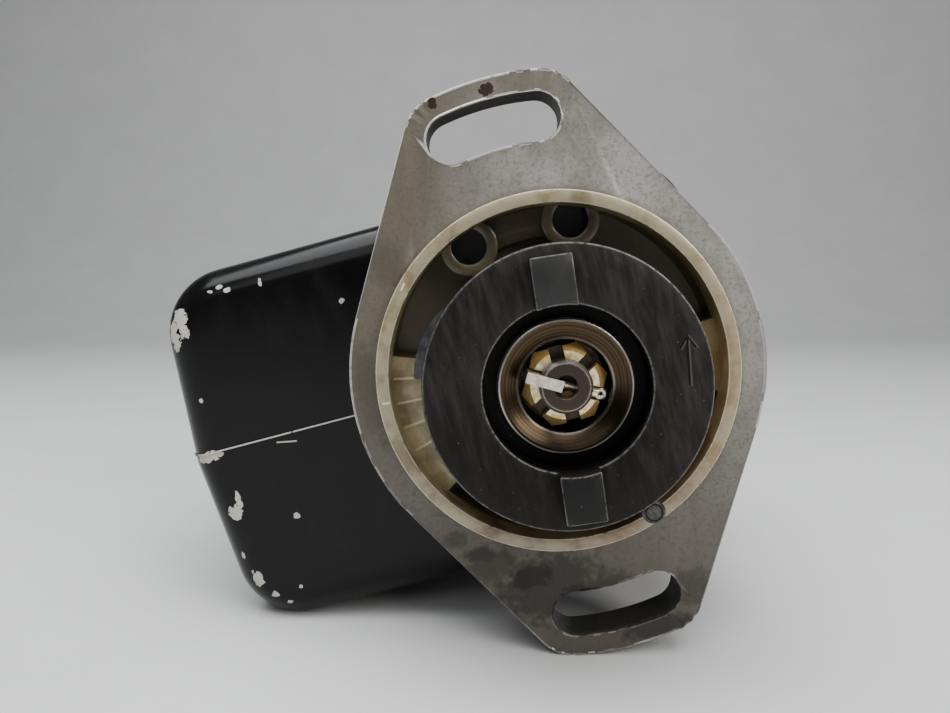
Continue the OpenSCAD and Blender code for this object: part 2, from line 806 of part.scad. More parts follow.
module carbon_brush() color("black") lay_down()
    translate([-gear_centres, 0, 0]) drum(contact_r, block_z - brush_l, finger_back_z - 0.1);

// Breaker

module breaker_posts() color("silver") lay_down() {
    for (s = [-1, 1]) translate([post_x, s * post_y, 0]) {
        drum(post_r, joint_z, breaker_plate_z);
        drum(bridge_screw_r, breaker_plate_back_z - 1, land_back_z);
    }
}

module breaker_plate() color("silver") lay_down() {
    difference() {
        rounded_prism(post_x - plate_margin, arm_x + 2 * plate_margin,
            -post_y - plate_margin, post_y + plate_margin,
            plate_margin, breaker_plate_back_z, breaker_plate_z);
        for (s = [-1, 1]) translate([post_x, s * post_y, 0])
            drum(bridge_screw_r, breaker_plate_back_z - cut, breaker_plate_z + cut);
        translate([arm_x, arm_y, 0]) drum(pivot_r, breaker_plate_back_z - cut, breaker_plate_z + cut);
    }
}

module breaker_pivot() color("silver") lay_down()
    translate([arm_x, arm_y, 0]) drum(pivot_r, breaker_plate_z, arm_back_z - 1);

point_face_x = arm_x - arm_t / 2 - 1.2;
fixed_face_x = point_face_x - point_gap;

module fixed_point() color("silver") lay_down() {
    block(post_x - 2, fixed_face_x - point_l, point_y - 4, point_y + 4, arm_back_z, breaker_plate_back_z);
    translate([fixed_face_x - point_l, point_y, (arm_z + arm_back_z) / 2])
        rotate([0, 90, 0]) cylinder(r = point_r, h = point_l);
}

module breaker_arm() color("peru") lay_down() {
    difference() {
        union() {
            translate([arm_x, arm_y, 0]) drum(pivot_r + 2.2, arm_z, arm_back_z);
            block(arm_x - arm_t / 2, arm_x + arm_t / 2, point_y - 3, arm_y, arm_z, arm_back_z);
            block(follower_x, arm_x, -follower_w / 2, follower_w / 2, arm_z, arm_back_z);
            translate([point_face_x, point_y, (arm_z + arm_back_z) / 2])
                rotate([0, 90, 0]) cylinder(r = point_r, h = 2 * point_l);
        }
        translate([arm_x, arm_y, 0]) drum(pivot_r + run_gap, arm_z + cut, arm_back_z - cut);
    }
}

module breaker_spring() color("steelblue") lay_down() {
    x0 = arm_x + arm_t / 2;
    block(x0, x0 + leaf_t, point_y - 3, arm_y - 8, arm_z - leaf_in, arm_back_z + leaf_in);
    block(x0, x0 + leaf_foot, point_y - 3 - leaf_t, point_y - 3, arm_z - leaf_in, arm_back_z + leaf_in);
}

module condenser() color("silver") lay_down() translate([condenser_x, condenser_y, 0]) {
    drum(condenser_r, cover_floor_z + condenser_l, cover_floor_z);
    drum(stud_r, rear_z - stud_nut_h, cover_floor_z);
    drum(stud_tip_r, rear_z - stud_nut_h - stud_l, rear_z);
    drum(stud_r - 1.2, cover_floor_z + condenser_l + 3, cover_floor_z);
}

module condenser_nut() color("silver") lay_down() translate([condenser_x, condenser_y, 0]) {
    difference() {
        translate([0, 0, rear_z - stud_nut_h]) cylinder(r = stud_r * 2, h = stud_nut_h, $fn = 6);
        drum(stud_r, rear_z - stud_nut_h - cut, rear_z + cut);
    }
}

// Turning parts

module key_shape() {
    intersection() {
        translate([0, hub_seat_r, (hub_back_z + plate_z) / 2])
            rotate([0, 90, 0]) cylinder(r = 4, h = 3, center = true);
        block(-1.5, 1.5, 0, hub_seat_r + 1.2, hub_back_z, plate_z + 4);
    }
}

module rotor_shaft() color("silver") lay_down() {
    difference() {
        union() {
            drum(thread_r, nut_seat_z, shaft_front - 0.5);
            translate([0, 0, shaft_front - 0.5]) cylinder(r1 = thread_r, r2 = thread_r - 0.5, h = 0.5);
            drum(hub_seat_r, hub_back_z, nut_seat_z - 1);
            drum(front_id_r, magnet_z + 2, hub_back_z);
            drum(magnet_seat_r, magnet_back_z - 2, magnet_z + 2);
            drum(rear_id_r, pinion_back_z, magnet_back_z - 2);
            drum(cam_seat_r, cam_back_z, pinion_back_z);
        }
        drum(centre_hole_r, shaft_front - 5, shaft_front + cut);
        rotate(cotter_a) translate([0, 0, cotter_z])
            rotate([0, 90, 0]) cylinder(r = cotter_r + run_gap, h = 4 * thread_r, center = true);
        key_shape();
        drum(1.5, cam_back_z - cut, cam_back_z + 7);
    }
    drum(thread_r, nut_seat_z - 1, nut_seat_z);
}

module rotor_magnet() color("darkgray") lay_down() pipe(magnet_r, magnet_seat_r, magnet_back_z, magnet_z);

module shaft_spacer() color("silver") lay_down() {
    pipe(spacer_r, front_id_r, front_z, hub_back_z);
    pipe(spacer_r + 2.5, front_id_r, well_z + 1, well_z + 2.2);
}

module drive_pinion() color("darkgoldenrod") lay_down() {
    difference() {
        union() {
            slab(gear_z + 1, pinion_back_z) spur_gear(pinion_teeth, tooth_m);
            drum(rear_id_r + 2.4, rear_back_z, gear_z + 1);
        }
        drum(rear_id_r, pinion_back_z - cut, rear_back_z + cut);
    }
}

module breaker_cam() color("gray") lay_down() {
    difference() {
        union() {
            drum(cam_r, cam_back_z, cam_z);
            for (s = [-1, 1]) translate([s * cam_lift, 0, 0]) drum(cam_r, cam_back_z, cam_z);
        }
        drum(cam_seat_r, cam_back_z - cut, cam_z + cut);
    }
}

module cam_screw() color("silver") lay_down() {
    drum(1.5, cam_back_z, cam_back_z + 6);
    difference() {
        drum(cam_seat_r + 1.8, cam_back_z - 2.6, cam_back_z);
        block(-0.6, 0.6, -2 * cam_seat_r, 2 * cam_seat_r, cam_back_z - 2.6 - cut, cam_back_z - 1.6);
    }
}

module coupling_hub() color("lightslategray") lay_down() {
    difference() {
        union() {
            drum(hub_r, hub_back_z + 1, hub_front - 0.8);
            translate([0, 0, hub_front - 0.8]) cylinder(r1 = hub_r, r2 = hub_r - 0.5, h = 0.8);
            drum(hub_seat_r + 3, hub_back_z, hub_back_z + 1);
            drum(hub_plate_r, plate_back_z, plate_z);
        }
        drum(hub_seat_r, hub_back_z - cut, nut_seat_z - 1);
        drum(thread_r, hub_back_z, hub_front);
        drum(nut_well_r, nut_seat_z, hub_front + cut);
        translate([0, 0, hub_front - 1.8]) cylinder(r1 = nut_well_r, r2 = hub_r - 1.2, h = 1.8 + 0.01);
        key_shape();
        for (a = [0, 180]) rotate(a) flyweight_pivot_place()
            drum(flyweight_pin_r, plate_back_z - cut, plate_z + cut);
    }
}

module hub_key() color("gray") lay_down() key_shape();

// The flyweight's pivot trails its tip, which points the way the shaft turns
pivot_a = 100;
swing_out = 8;
swing_in = 6;

module flyweight_pivot_place() rotate(pivot_a) translate([flyweight_pivot_r, 0, 0]) children();

// Turns its children about the pivot
module flyweight_turned(a)
    flyweight_pivot_place() rotate(a) translate([-flyweight_pivot_r, 0, 0]) rotate(-pivot_a) children();

module flyweight_pins() color("silver") lay_down()
    for (a = [0, 180]) rotate(a) flyweight_pivot_place()
        drum(flyweight_pin_r, plate_back_z, disc_back - pass_gap / 2);

tip_curve_r = 20;
tip_a = 165;
tip_r = stop_circle_r - stop_tip_r - 0.4;

// Corners that bound a flyweight, as radius and angle
flyweight_bounds = [[9, 110], [40, 66], [44, 105], [44, 140], [tip_r + 1, tip_a + 0.5], [hub_r, tip_a + 16]];

module flyweight() {
    slab(flyweight_z, flyweight_z + flyweight_t) difference() {
        intersection() {
            union() {
                circle(disc_r - 0.4);
                rotate(tip_a) translate([tip_r - tip_curve_r, 0]) circle(tip_curve_r);
            }
            polygon([for (p = flyweight_bounds) p[0] * [cos(p[1]), sin(p[1])]]);
        }
        for (a = [-swing_in, 0, swing_out]) flyweight_turned(a) circle(hub_r + pass_gap);
        flyweight_pivot_place() circle(flyweight_pin_r + run_gap);
    }
}

module flyweight_a() color("dimgray") lay_down() flyweight();

module flyweight_b() color("dimgray") lay_down() rotate(180) flyweight();

// Flat spring wound between the hub and the disc's rim
function spring_r(a) = spring_in_r + (spring_out_r - spring_t - spring_in_r) * a / (360 * spring_turns);

module coupling_spring() color("steelblue") lay_down() {
    step = 15;
    turn = 360 * spring_turns;
    inner = [for (a = [0:step:turn]) spring_r(a) * [cos(a), sin(a)]];
    outer = [for (a = [turn:-step:0]) (spring_r(a) + spring_t) * [cos(a), sin(a)]];
    slab(spring_z[0], spring_z[1]) polygon(concat(inner, outer));
}

module coupling_disc() color([0.16, 0.16, 0.17]) lay_down() {
    difference() {
        union() {
            drum(disc_r, disc_back, disc_front - 0.5);
            translate([0, 0, disc_front - 0.5]) cylinder(r1 = disc_r, r2 = disc_r - 0.5, h = 0.5);
            for (a = [0, 180]) rotate(a - lug_swing)
                block(-lug_w / 2, lug_w / 2, hub_r, disc_r - lug_inset, disc_front - cut, disc_front + lug_h);
        }
        drum(recess_r, recess_z, disc_front + lug_h + cut);
        drum(hub_r + run_gap, disc_back - cut, disc_front);
        drum(disc_r - rim_t, disc_back - cut, web_z);
    }
}

module nut_washer() color("silver") lay_down() pipe(nut_well_r - 0.4, thread_r, nut_seat_z, nut_z);

module castle_nut() color("gold") lay_down() {
    difference() {
        intersection() {
            translate([0, 0, nut_z]) cylinder(r = nut_af / sqrt(3), h = nut_h, $fn = 6);
            union() {
                drum(nut_af, nut_z, nut_front - 1.6);
                translate([0, 0, nut_front - 1.6])
                    cylinder(r1 = nut_af / sqrt(3), r2 = nut_af / 2 - 0.8, h = 1.6);
            }
        }
        drum(thread_r, nut_z - cut, nut_front + cut);
        for (a = [30:60:150]) rotate(a)
            block(-nut_af, nut_af, -nut_slot_w / 2, nut_slot_w / 2,
                nut_front - nut_slot_depth, nut_front + cut);
    }
}

// Split pin through the shaft: an eye on one side, one leg bent over the shaft's end
module cotter_pin() color("gainsboro") lay_down() rotate(cotter_a) {
    reach = nut_af / 2 + 0.4;
    eye_x = nut_well_r - cotter_eye_r - cotter_r / 2 - 0.2;
    translate([cotter_eye_r - eye_x, 0, cotter_z])
        rotate([0, 90, 0]) cylinder(r = cotter_r, h = reach + eye_x - cotter_eye_r);
    block(reach - 0.9, reach, -cotter_r, cotter_r, cotter_z, shaft_front + 1);
    block(centre_hole_r - 1.6, reach, -cotter_r, cotter_r, shaft_front + 0.1, shaft_front + 1);
    translate([-eye_x, 0, cotter_z]) rotate_extrude() translate([cotter_eye_r, 0]) circle(cotter_r / 2);
}

drive_housing();
distributor_housing();
housing_screws();
stop_pin();
oil_seal();
front_bearing_outer_ring();
front_bearing_balls();
front_bearing_inner_ring();
rear_bearing_outer_ring();
rear_bearing_balls();
rear_bearing_inner_ring();
bearing_bridge();
bridge_screws();
upper_pole_shoe();
lower_pole_shoe();
coil_winding();
coil_core();
distributor_axle();
distributor_gear();
distributor_finger();
distributor_block();
outlet_contacts();
carbon_brush();
breaker_plate();
breaker_posts();
breaker_pivot();
fixed_point();
breaker_arm();
breaker_spring();
condenser();
condenser_nut();
timing_plug();
vent_plug();
rotor_shaft();
rotor_magnet();
shaft_spacer();
drive_pinion();
breaker_cam();
cam_screw();
coupling_hub();
hub_key();
flyweight_pins();
flyweight_a();
flyweight_b();
coupling_spring();
coupling_disc();
nut_washer();
castle_nut();
cotter_pin();
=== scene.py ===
import json
import math

import bmesh
import bpy
from mathutils import Matrix, Vector


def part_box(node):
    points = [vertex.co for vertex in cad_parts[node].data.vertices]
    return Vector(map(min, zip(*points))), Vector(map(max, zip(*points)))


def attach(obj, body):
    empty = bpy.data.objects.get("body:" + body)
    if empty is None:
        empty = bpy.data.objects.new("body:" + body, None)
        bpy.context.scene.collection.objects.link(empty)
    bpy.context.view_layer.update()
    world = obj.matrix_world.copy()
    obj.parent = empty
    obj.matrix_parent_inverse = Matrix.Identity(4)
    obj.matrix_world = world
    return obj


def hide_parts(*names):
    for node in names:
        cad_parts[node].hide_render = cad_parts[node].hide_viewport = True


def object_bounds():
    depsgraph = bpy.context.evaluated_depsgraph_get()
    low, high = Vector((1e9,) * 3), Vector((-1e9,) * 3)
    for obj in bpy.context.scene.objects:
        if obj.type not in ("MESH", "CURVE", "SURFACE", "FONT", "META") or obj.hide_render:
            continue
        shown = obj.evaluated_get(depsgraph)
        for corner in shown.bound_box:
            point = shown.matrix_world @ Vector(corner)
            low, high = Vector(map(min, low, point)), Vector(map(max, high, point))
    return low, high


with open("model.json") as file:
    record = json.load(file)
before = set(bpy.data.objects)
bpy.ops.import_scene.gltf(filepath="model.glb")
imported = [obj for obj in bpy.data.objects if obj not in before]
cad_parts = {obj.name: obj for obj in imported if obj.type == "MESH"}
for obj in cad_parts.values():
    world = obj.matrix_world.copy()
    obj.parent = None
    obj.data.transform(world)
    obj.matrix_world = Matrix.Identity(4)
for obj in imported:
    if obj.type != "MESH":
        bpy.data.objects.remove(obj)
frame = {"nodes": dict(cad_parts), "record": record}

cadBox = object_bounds()
nodes = frame["nodes"]
mounts = {m["name"]: m for m in frame["record"]["mounts"]}

# pieces are modelled in mm about the drive axis (+Z out of the drive end), then laid down as the unit rests
mm = 0.001
outletAt = mounts["outlet_screws"]["pos_m"]
lean = math.atan2(-outletAt[2], -outletAt[0])
layDown = Matrix.Rotation(-lean, 4, "Y") @ Matrix.Rotation(math.pi / 2, 4, "X") @ Matrix.Scale(mm, 4)
print("frame loaded:", len(nodes), "nodes, lean", round(math.degrees(lean), 2))


# node helpers

def swing(radius, degrees):
    return radius * math.cos(math.radians(degrees)), radius * math.sin(math.radians(degrees))


def startFinish(name, metallic, roughness):
    finish = bpy.data.materials.new(name)
    finish.use_nodes = True
    tree = finish.node_tree
    shader = tree.nodes["Principled BSDF"]
    shader.inputs["Metallic"].default_value = metallic
    shader.inputs["Roughness"].default_value = sum(roughness) / 2
    return finish, tree, shader


def feed(tree, socket, value):
    # a socket takes either a link or a plain value
    if isinstance(value, bpy.types.NodeSocket):
        tree.links.new(value, socket)
    elif isinstance(value, (tuple, list)) and len(value) == 3 and socket.type == "RGBA":
        socket.default_value = (*value, 1)
    else:
        socket.default_value = value


def localPlace(tree):
    # object coordinates turned back to mm about the drive axis
    coord = tree.nodes.new("ShaderNodeTexCoord")
    turn = tree.nodes.new("ShaderNodeMapping")
    turn.inputs["Rotation"].default_value = layDown.to_quaternion().inverted().to_euler()
    turn.inputs["Scale"].default_value = (1 / mm, 1 / mm, 1 / mm)
    tree.links.new(coord.outputs["Object"], turn.inputs["Vector"])
    return turn.outputs["Vector"]


def sums(tree, operation, a, b=0.0, clamp=False):
    node = tree.nodes.new("ShaderNodeMath")
    node.operation = operation
    node.use_clamp = clamp
    feed(tree, node.inputs[0], a)
    feed(tree, node.inputs[1], b)
    return node.outputs[0]


def times(tree, a, b):
    return sums(tree, "MULTIPLY", a, b)


def stirred(tree, value, noise, amount):
    # a value with some noise added, so that its limit is ragged
    return sums(tree, "ADD", value, times(tree, noise, amount))


def slant(tree, x, y, alongX, alongY):
    return sums(tree, "ADD", times(tree, x, alongX), times(tree, y, alongY))


def most(tree, masks):
    result = masks[0]
    for mask in masks[1:]:
        result = sums(tree, "MAXIMUM", result, mask)
    return result


def vectors(tree, operation, a, b=(0, 0, 0), out="Vector"):
    node = tree.nodes.new("ShaderNodeVectorMath")
    node.operation = operation
    feed(tree, node.inputs[0], a)
    feed(tree, node.inputs[1], b)
    return node.outputs[out]


def fromAxis(tree, place):
    return vectors(tree, "LENGTH", vectors(tree, "MULTIPLY", place, (1, 1, 0)), out="Value")


def parts(tree, vector):
    node = tree.nodes.new("ShaderNodeSeparateXYZ")
    tree.links.new(vector, node.inputs[0])
    return node.outputs


def band(tree, value, low, high):
    # smooth step from 0 at low to 1 at high
    node = tree.nodes.new("ShaderNodeMapRange")
    node.interpolation_type = "SMOOTHSTEP"
    feed(tree, node.inputs["Value"], value)
    node.inputs["From Min"].default_value = low
    node.inputs["From Max"].default_value = high
    return node.outputs["Result"]


def lineAt(tree, value, middle, outer, inner):
    # 1 within inner of the middle value, 0 past outer
    return band(tree, sums(tree, "ABSOLUTE", sums(tree, "SUBTRACT", value, middle)), outer, inner)


def span(tree, value, low, high):
    # straight map of 0..1 to low..high
    node = tree.nodes.new("ShaderNodeMapRange")
    feed(tree, node.inputs["Value"], value)
    node.inputs["To Min"].default_value = low
    node.inputs["To Max"].default_value = high
    return node.outputs["Result"]


def cloud(tree, place, size, detail=4, rough=0.55, stretch=None):
    # soft noise with lumps of about size mm
    node = tree.nodes.new("ShaderNodeTexNoise")
    node.inputs["Scale"].default_value = 1 / size
    node.inputs["Detail"].default_value = detail
    node.inputs["Roughness"].default_value = rough
    spread = vectors(tree, "MULTIPLY", place, stretch) if stretch else place
    tree.links.new(spread, node.inputs["Vector"])
    return node.outputs["Fac"]


def tint(tree, share, a, b):
    node = tree.nodes.new("ShaderNodeMix")
    node.data_type = "RGBA"
    feed(tree, node.inputs[0], share)
    feed(tree, node.inputs[6], a)
    feed(tree, node.inputs[7], b)
    return node.outputs[2]


def wash(tree, colour, tone, mask, share):
    # a tone laid over a colour where the mask is, at part strength
    return tint(tree, times(tree, mask, share), colour, tone)


def patch(tree, place, at, size, ragged, grain, soft=0.04):
    # ragged-edged patch: 1 inside an ellipsoid of half-sizes size round at
    offset = vectors(tree, "SUBTRACT", place, at)
    scaled = vectors(tree, "MULTIPLY", offset, tuple(1 / s for s in size))
    reach = vectors(tree, "LENGTH", scaled, out="Value")
    noise = sums(tree, "SUBTRACT", cloud(tree, place, grain, 3), 0.5)
    return band(tree, stirred(tree, reach, noise, 2 * ragged), 1 + soft, 1 - soft)


def stroke(tree, place, a, b, width):
    # straight line from a to b: 1 within half its width
    a, b = Vector(a), Vector(b)
    along = (b - a).normalized()
    offset = vectors(tree, "SUBTRACT", place, tuple(a))
    run = vectors(tree, "DOT_PRODUCT", offset, tuple(along), out="Value")
    held = sums(tree, "MINIMUM", sums(tree, "MAXIMUM", run, 0.0), (b - a).length)
    foot = tree.nodes.new("ShaderNodeVectorMath")
    foot.operation = "SCALE"
    foot.inputs[0].default_value = along
    tree.links.new(held, foot.inputs["Scale"])
    gap = vectors(tree, "DISTANCE", offset, foot.outputs[0], out="Value")
    return band(tree, gap, width * 0.7, width * 0.3)


def chamferMask(tree):
    # 1 on faces that tilt between the drive axis and its square, which are the eased edges
    coord = tree.nodes.new("ShaderNodeTexCoord")
    tilt = vectors(tree, "DOT_PRODUCT", coord.outputs["Normal"], (0, -1, 0), out="Value")
    return times(tree, band(tree, tilt, 0.2, 0.45), band(tree, tilt, 0.985, 0.9))


def closeFinish(tree, shader, colour, rough, height, relief):
    feed(tree, shader.inputs["Base Color"], colour)
    feed(tree, shader.inputs["Roughness"], rough)
    bump = tree.nodes.new("ShaderNodeBump")
    bump.inputs["Strength"].default_value = 1
    bump.inputs["Distance"].default_value = relief * mm
    tree.links.new(height, bump.inputs["Height"])
    tree.links.new(bump.outputs["Normal"], shader.inputs["Normal"])


def twoTone(name, light, dark, metallic, roughness, size=3.0, stretch=None, relief=0.02, edge=None):
    # plain worn finish: two tones in soft patches, with its roughness and a fine grain
    finish, tree, shader = startFinish(name, metallic, roughness)
    place = localPlace(tree)
    broad = cloud(tree, place, size, 5, 0.62, stretch)
    fine = cloud(tree, place, size / 6, 3, 0.6, stretch)
    colour = tint(tree, band(tree, broad, 0.36, 0.66), light, dark)
    if edge:
        colour = wash(tree, colour, edge, chamferMask(tree), band(tree, fine, 0.3, 0.5))
    closeFinish(tree, shader, colour, span(tree, broad, *roughness), fine, relief)
    return finish


# mesh helpers

def arc(centre, radius, first, last, steps):
    turns = [math.radians(first + (last - first) * i / steps) for i in range(steps + 1)]
    return [(centre[0] + radius * math.cos(t), centre[1] + radius * math.sin(t)) for t in turns]


def loopOf(bm, points, z):
    verts = [bm.verts.new((x, y, z)) for x, y in points]
    return [bm.edges.new(pair) for pair in zip(verts, verts[1:] + verts[:1])]


def vertsOf(made):
    return [g for g in made if isinstance(g, bmesh.types.BMVert)]


def facesOf(made):
    return [g for g in made if isinstance(g, bmesh.types.BMFace)]


def lowest(edge):
    return min(v.co.z for v in edge.verts)


def highest(edge):
    return max(v.co.z for v in edge.verts)


def plate(bm, loops, back, front, ease):
    # flat plate between two heights, its first loop the outline and the others holes, with an eased front rim
    edges = [e for points in loops for e in loopOf(bm, points, back)]
    bmesh.ops.triangle_fill(bm, edges=edges, use_beauty=True, normal=(0, 0, 1))
    made = bmesh.ops.extrude_face_region(bm, geom=bm.faces[:])["geom"]
    faces = facesOf(made)
    bmesh.ops.translate(bm, verts=vertsOf(made), vec=(0, 0, front - back))
    for width, drop in ((ease * 0.4, ease * 0.6), (ease * 0.6, ease * 0.4)):
        rim = {v for f in faces for e in f.edges if sum(l in faces for l in e.link_faces) == 1 for v in e.verts}
        bmesh.ops.inset_region(bm, faces=faces, thickness=width, use_even_offset=True)
        bmesh.ops.translate(bm, verts=list(rim), vec=(0, 0, -drop))


def turned(bm, profile, steps, at=(0, 0)):
    # closed (radius, height) outline spun a full turn
    verts = [bm.verts.new((at[0] + r, at[1], z)) for r, z in profile]
    edges = [bm.edges.new(pair) for pair in zip(verts, verts[1:] + verts[:1])]
    bmesh.ops.spin(bm, geom=verts + edges, cent=(*at, 0), axis=(0, 0, 1), angle=2 * math.pi, steps=steps,
                   use_merge=True)


def wedge(bm, profile, first, last, steps):
    # closed (radius, height) outline spun through part of a turn
    face = bm.faces.new([bm.verts.new((r, 0, z)) for r, z in profile])
    bmesh.ops.rotate(bm, verts=face.verts[:], cent=(0, 0, 0), matrix=Matrix.Rotation(math.radians(first), 3, "Z"))
    bmesh.ops.spin(bm, geom=[face], cent=(0, 0, 0), axis=(0, 0, 1), angle=math.radians(last - first), steps=steps)


def soften(bm, width, pick, sharper=30):
    # bevel on the picked edges that are sharper than so many degrees
    limit = math.radians(sharper)
    edges = [e for e in bm.edges if len(e.link_faces) == 2 and e.calc_face_angle(0) > limit and pick(e)]
    bmesh.ops.bevel(bm, geom=edges, offset=width, offset_type="OFFSET", segments=2, profile=0.5,
                    affect="EDGES", clamp_overlap=True, material=-1)


def mergeUp(bm):
    bmesh.ops.remove_doubles(bm, verts=bm.verts, dist=0.002)
    bmesh.ops.recalc_face_normals(bm, faces=bm.faces)


def addShell(target, shell, finishIndex=0):
    for face in shell.faces:
        face.material_index = finishIndex
    mesh = bpy.data.meshes.new("shell")
    shell.to_mesh(mesh)
    shell.free()
    target.from_mesh(mesh)
    bpy.data.meshes.remove(mesh)


def makePiece(name, bm, body, finishes, stands, smoothBelow=32):
    bm.transform(layDown)
    mesh = bpy.data.meshes.new(name)
    bm.to_mesh(mesh)
    bm.free()
    for finish in finishes:
        mesh.materials.append(finish)
    mesh.shade_smooth()
    mesh.set_sharp_from_angle(angle=math.radians(smoothBelow))
    piece = bpy.data.objects.new(name, mesh)
    bpy.context.scene.collection.objects.link(piece)
    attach(piece, body)
    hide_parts(*stands)
    print("made", name, len(mesh.polygons), "faces")


# drive end casting, mm
flange = dict(slotPitch=111.1, slotWidth=10.5, slotSwing=19.8, slotWall=4.6, round=46, earCorner=9, earHalf=10.5,
              thick=10.5, ease=0.5)
well = dict(pilot=39.85, high=2.4, wall=2.9, deep=13, floorThick=4, root=2, lap=0.3, seat=14, ease=0.4,
            stopCircle=34, stopSwing=20.2, stopHole=3.9, stopBoss=6.6, stopDeep=6, stopEase=0.5,
            # first and last angle, inner radius and depth of each ledge
            ledges=[(160, 214, 26, 4), (-22, 4, 26, 4), (-58, -36, 26, 4), (77.8, 102.2, 30, 9), (257.8, 282.2, 30, 9)],
            ledgeEase=0.6, ledgeLap=0.5)
box = dict(left=91, right=42, up=43.5, down=47.5, corner=16.5, edge=8, edgeSteps=10, draft=0.07584, front=-18,
           joint=-72, wall=3.5, ridgeWide=0.8, ridgeHigh=0.35, ridgeTaper=0.12,
           neck=43, neckTop=1, neckUnder=3.5, neckLap=2, bearing=17.5)
stopTurns = [base + side * well["stopSwing"] for base in (90, 270) for side in (-1, 1)]


def flangeShell():
    f = flange
    slotRadius = f["slotPitch"] / 2
    tip = slotRadius + f["slotWidth"] / 2 + f["slotWall"]
    cornerY = math.sqrt((tip - f["earCorner"]) ** 2 - f["earHalf"] ** 2)
    cornerTurn = math.degrees(math.atan2(cornerY, f["earHalf"]))
    sideTurn = cornerTurn - math.degrees(math.acos((f["round"] - f["earCorner"]) / (tip - f["earCorner"])))
    half = (arc((0, 0), f["round"], -sideTurn, sideTurn, 24)
            + arc((f["earHalf"], cornerY), f["earCorner"], sideTurn, cornerTurn, 12)
            + arc((0, 0), tip, cornerTurn, 180 - cornerTurn, 16)[1:]
            + arc((-f["earHalf"], cornerY), f["earCorner"], 180 - cornerTurn, 180 - sideTurn, 12)[1:])
    outline = half + [(-x, -y) for x, y in half]
    swingHalf, slotHalf = f["slotSwing"] / 2, f["slotWidth"] / 2
    slot = (arc((0, 0), slotRadius + slotHalf, 90 - swingHalf, 90 + swingHalf, 12)
            + arc(swing(slotRadius, 90 + swingHalf), slotHalf, 90 + swingHalf, 270 + swingHalf, 14)[1:]
            + arc((0, 0), slotRadius - slotHalf, 90 + swingHalf, 90 - swingHalf, 12)[1:]
            + arc(swing(slotRadius, 90 - swingHalf), slotHalf, 270 - swingHalf, 450 - swingHalf, 14)[1:-1])
    bore = arc((0, 0), well["pilot"] - well["wall"] / 2, 0, 360, 128)[:-1]
    bm = bmesh.new()
    plate(bm, [outline, slot, [(-x, -y) for x, y in slot], bore], -f["thick"], 0, f["ease"])
    mergeUp(bm)
    return bm


def ringShell():
    # locating ring, wall and floor of the well
    w = well
    inner, floor = w["pilot"] - w["wall"], -w["deep"]
    middle, under = w["pilot"] - w["wall"] / 2 + w["lap"], floor - w["floorThick"]
    bm = bmesh.new()
    turned(bm, [(w["seat"], floor), (inner, floor), (inner, w["high"]), (w["pilot"], w["high"]),
                (w["pilot"], -w["root"]), (middle, -w["root"]), (middle, under), (w["seat"], under)], 160)
    mergeUp(bm)
    soften(bm, w["ease"], lambda e: lowest(e) > w["high"] / 2)
    return bm


def stopBossShell(turn):
    w = well
    foot, top = -w["deep"] - 2, -w["stopDeep"]
    bm = bmesh.new()
    turned(bm, [(w["stopHole"], foot), (w["stopHole"], top), (w["stopBoss"], top), (w["stopBoss"], foot)],
           48, swing(w["stopCircle"], turn))
    mergeUp(bm)
    soften(bm, w["stopEase"], lambda e: lowest(e) > top - 0.1)
    return bm


def ledgeShell(first, last, inside, deep):
    w = well
    inner, foot = w["pilot"] - w["wall"] + w["ledgeLap"], -w["deep"] - 1
    bm = bmesh.new()
    wedge(bm, [(inside, foot), (inner, foot), (inner, -deep), (inside, -deep)],
          first, last, max(6, round((last - first) / 2)))
    mergeUp(bm)
    soften(bm, w["ledgeEase"], lambda e: lowest(e) > -deep - 0.1)
    return bm


def boxOutline():
    # right corners, then the left ones with the side between them sloping back from its middle by the draft
    b = box
    flat, middle = (b["up"] + b["down"]) / 2 - b["corner"], (b["up"] - b["down"]) / 2
    rightX, leftX = b["right"] - b["corner"], b["corner"] - b["left"]
    slope = math.degrees(math.asin(b["draft"]))
    tip = leftX - (b["corner"] + flat * b["draft"]) / math.cos(math.radians(slope))
    return (arc((rightX, middle + flat), b["corner"], 0, 90, 14)
            + arc((leftX, middle + flat), b["corner"], 90, 180 - slope, 14) + [(tip, middle)]
            + arc((leftX, middle - flat), b["corner"], 180 + slope, 270, 14)
            + arc((rightX, middle - flat), b["corner"], 270, 360, 14))


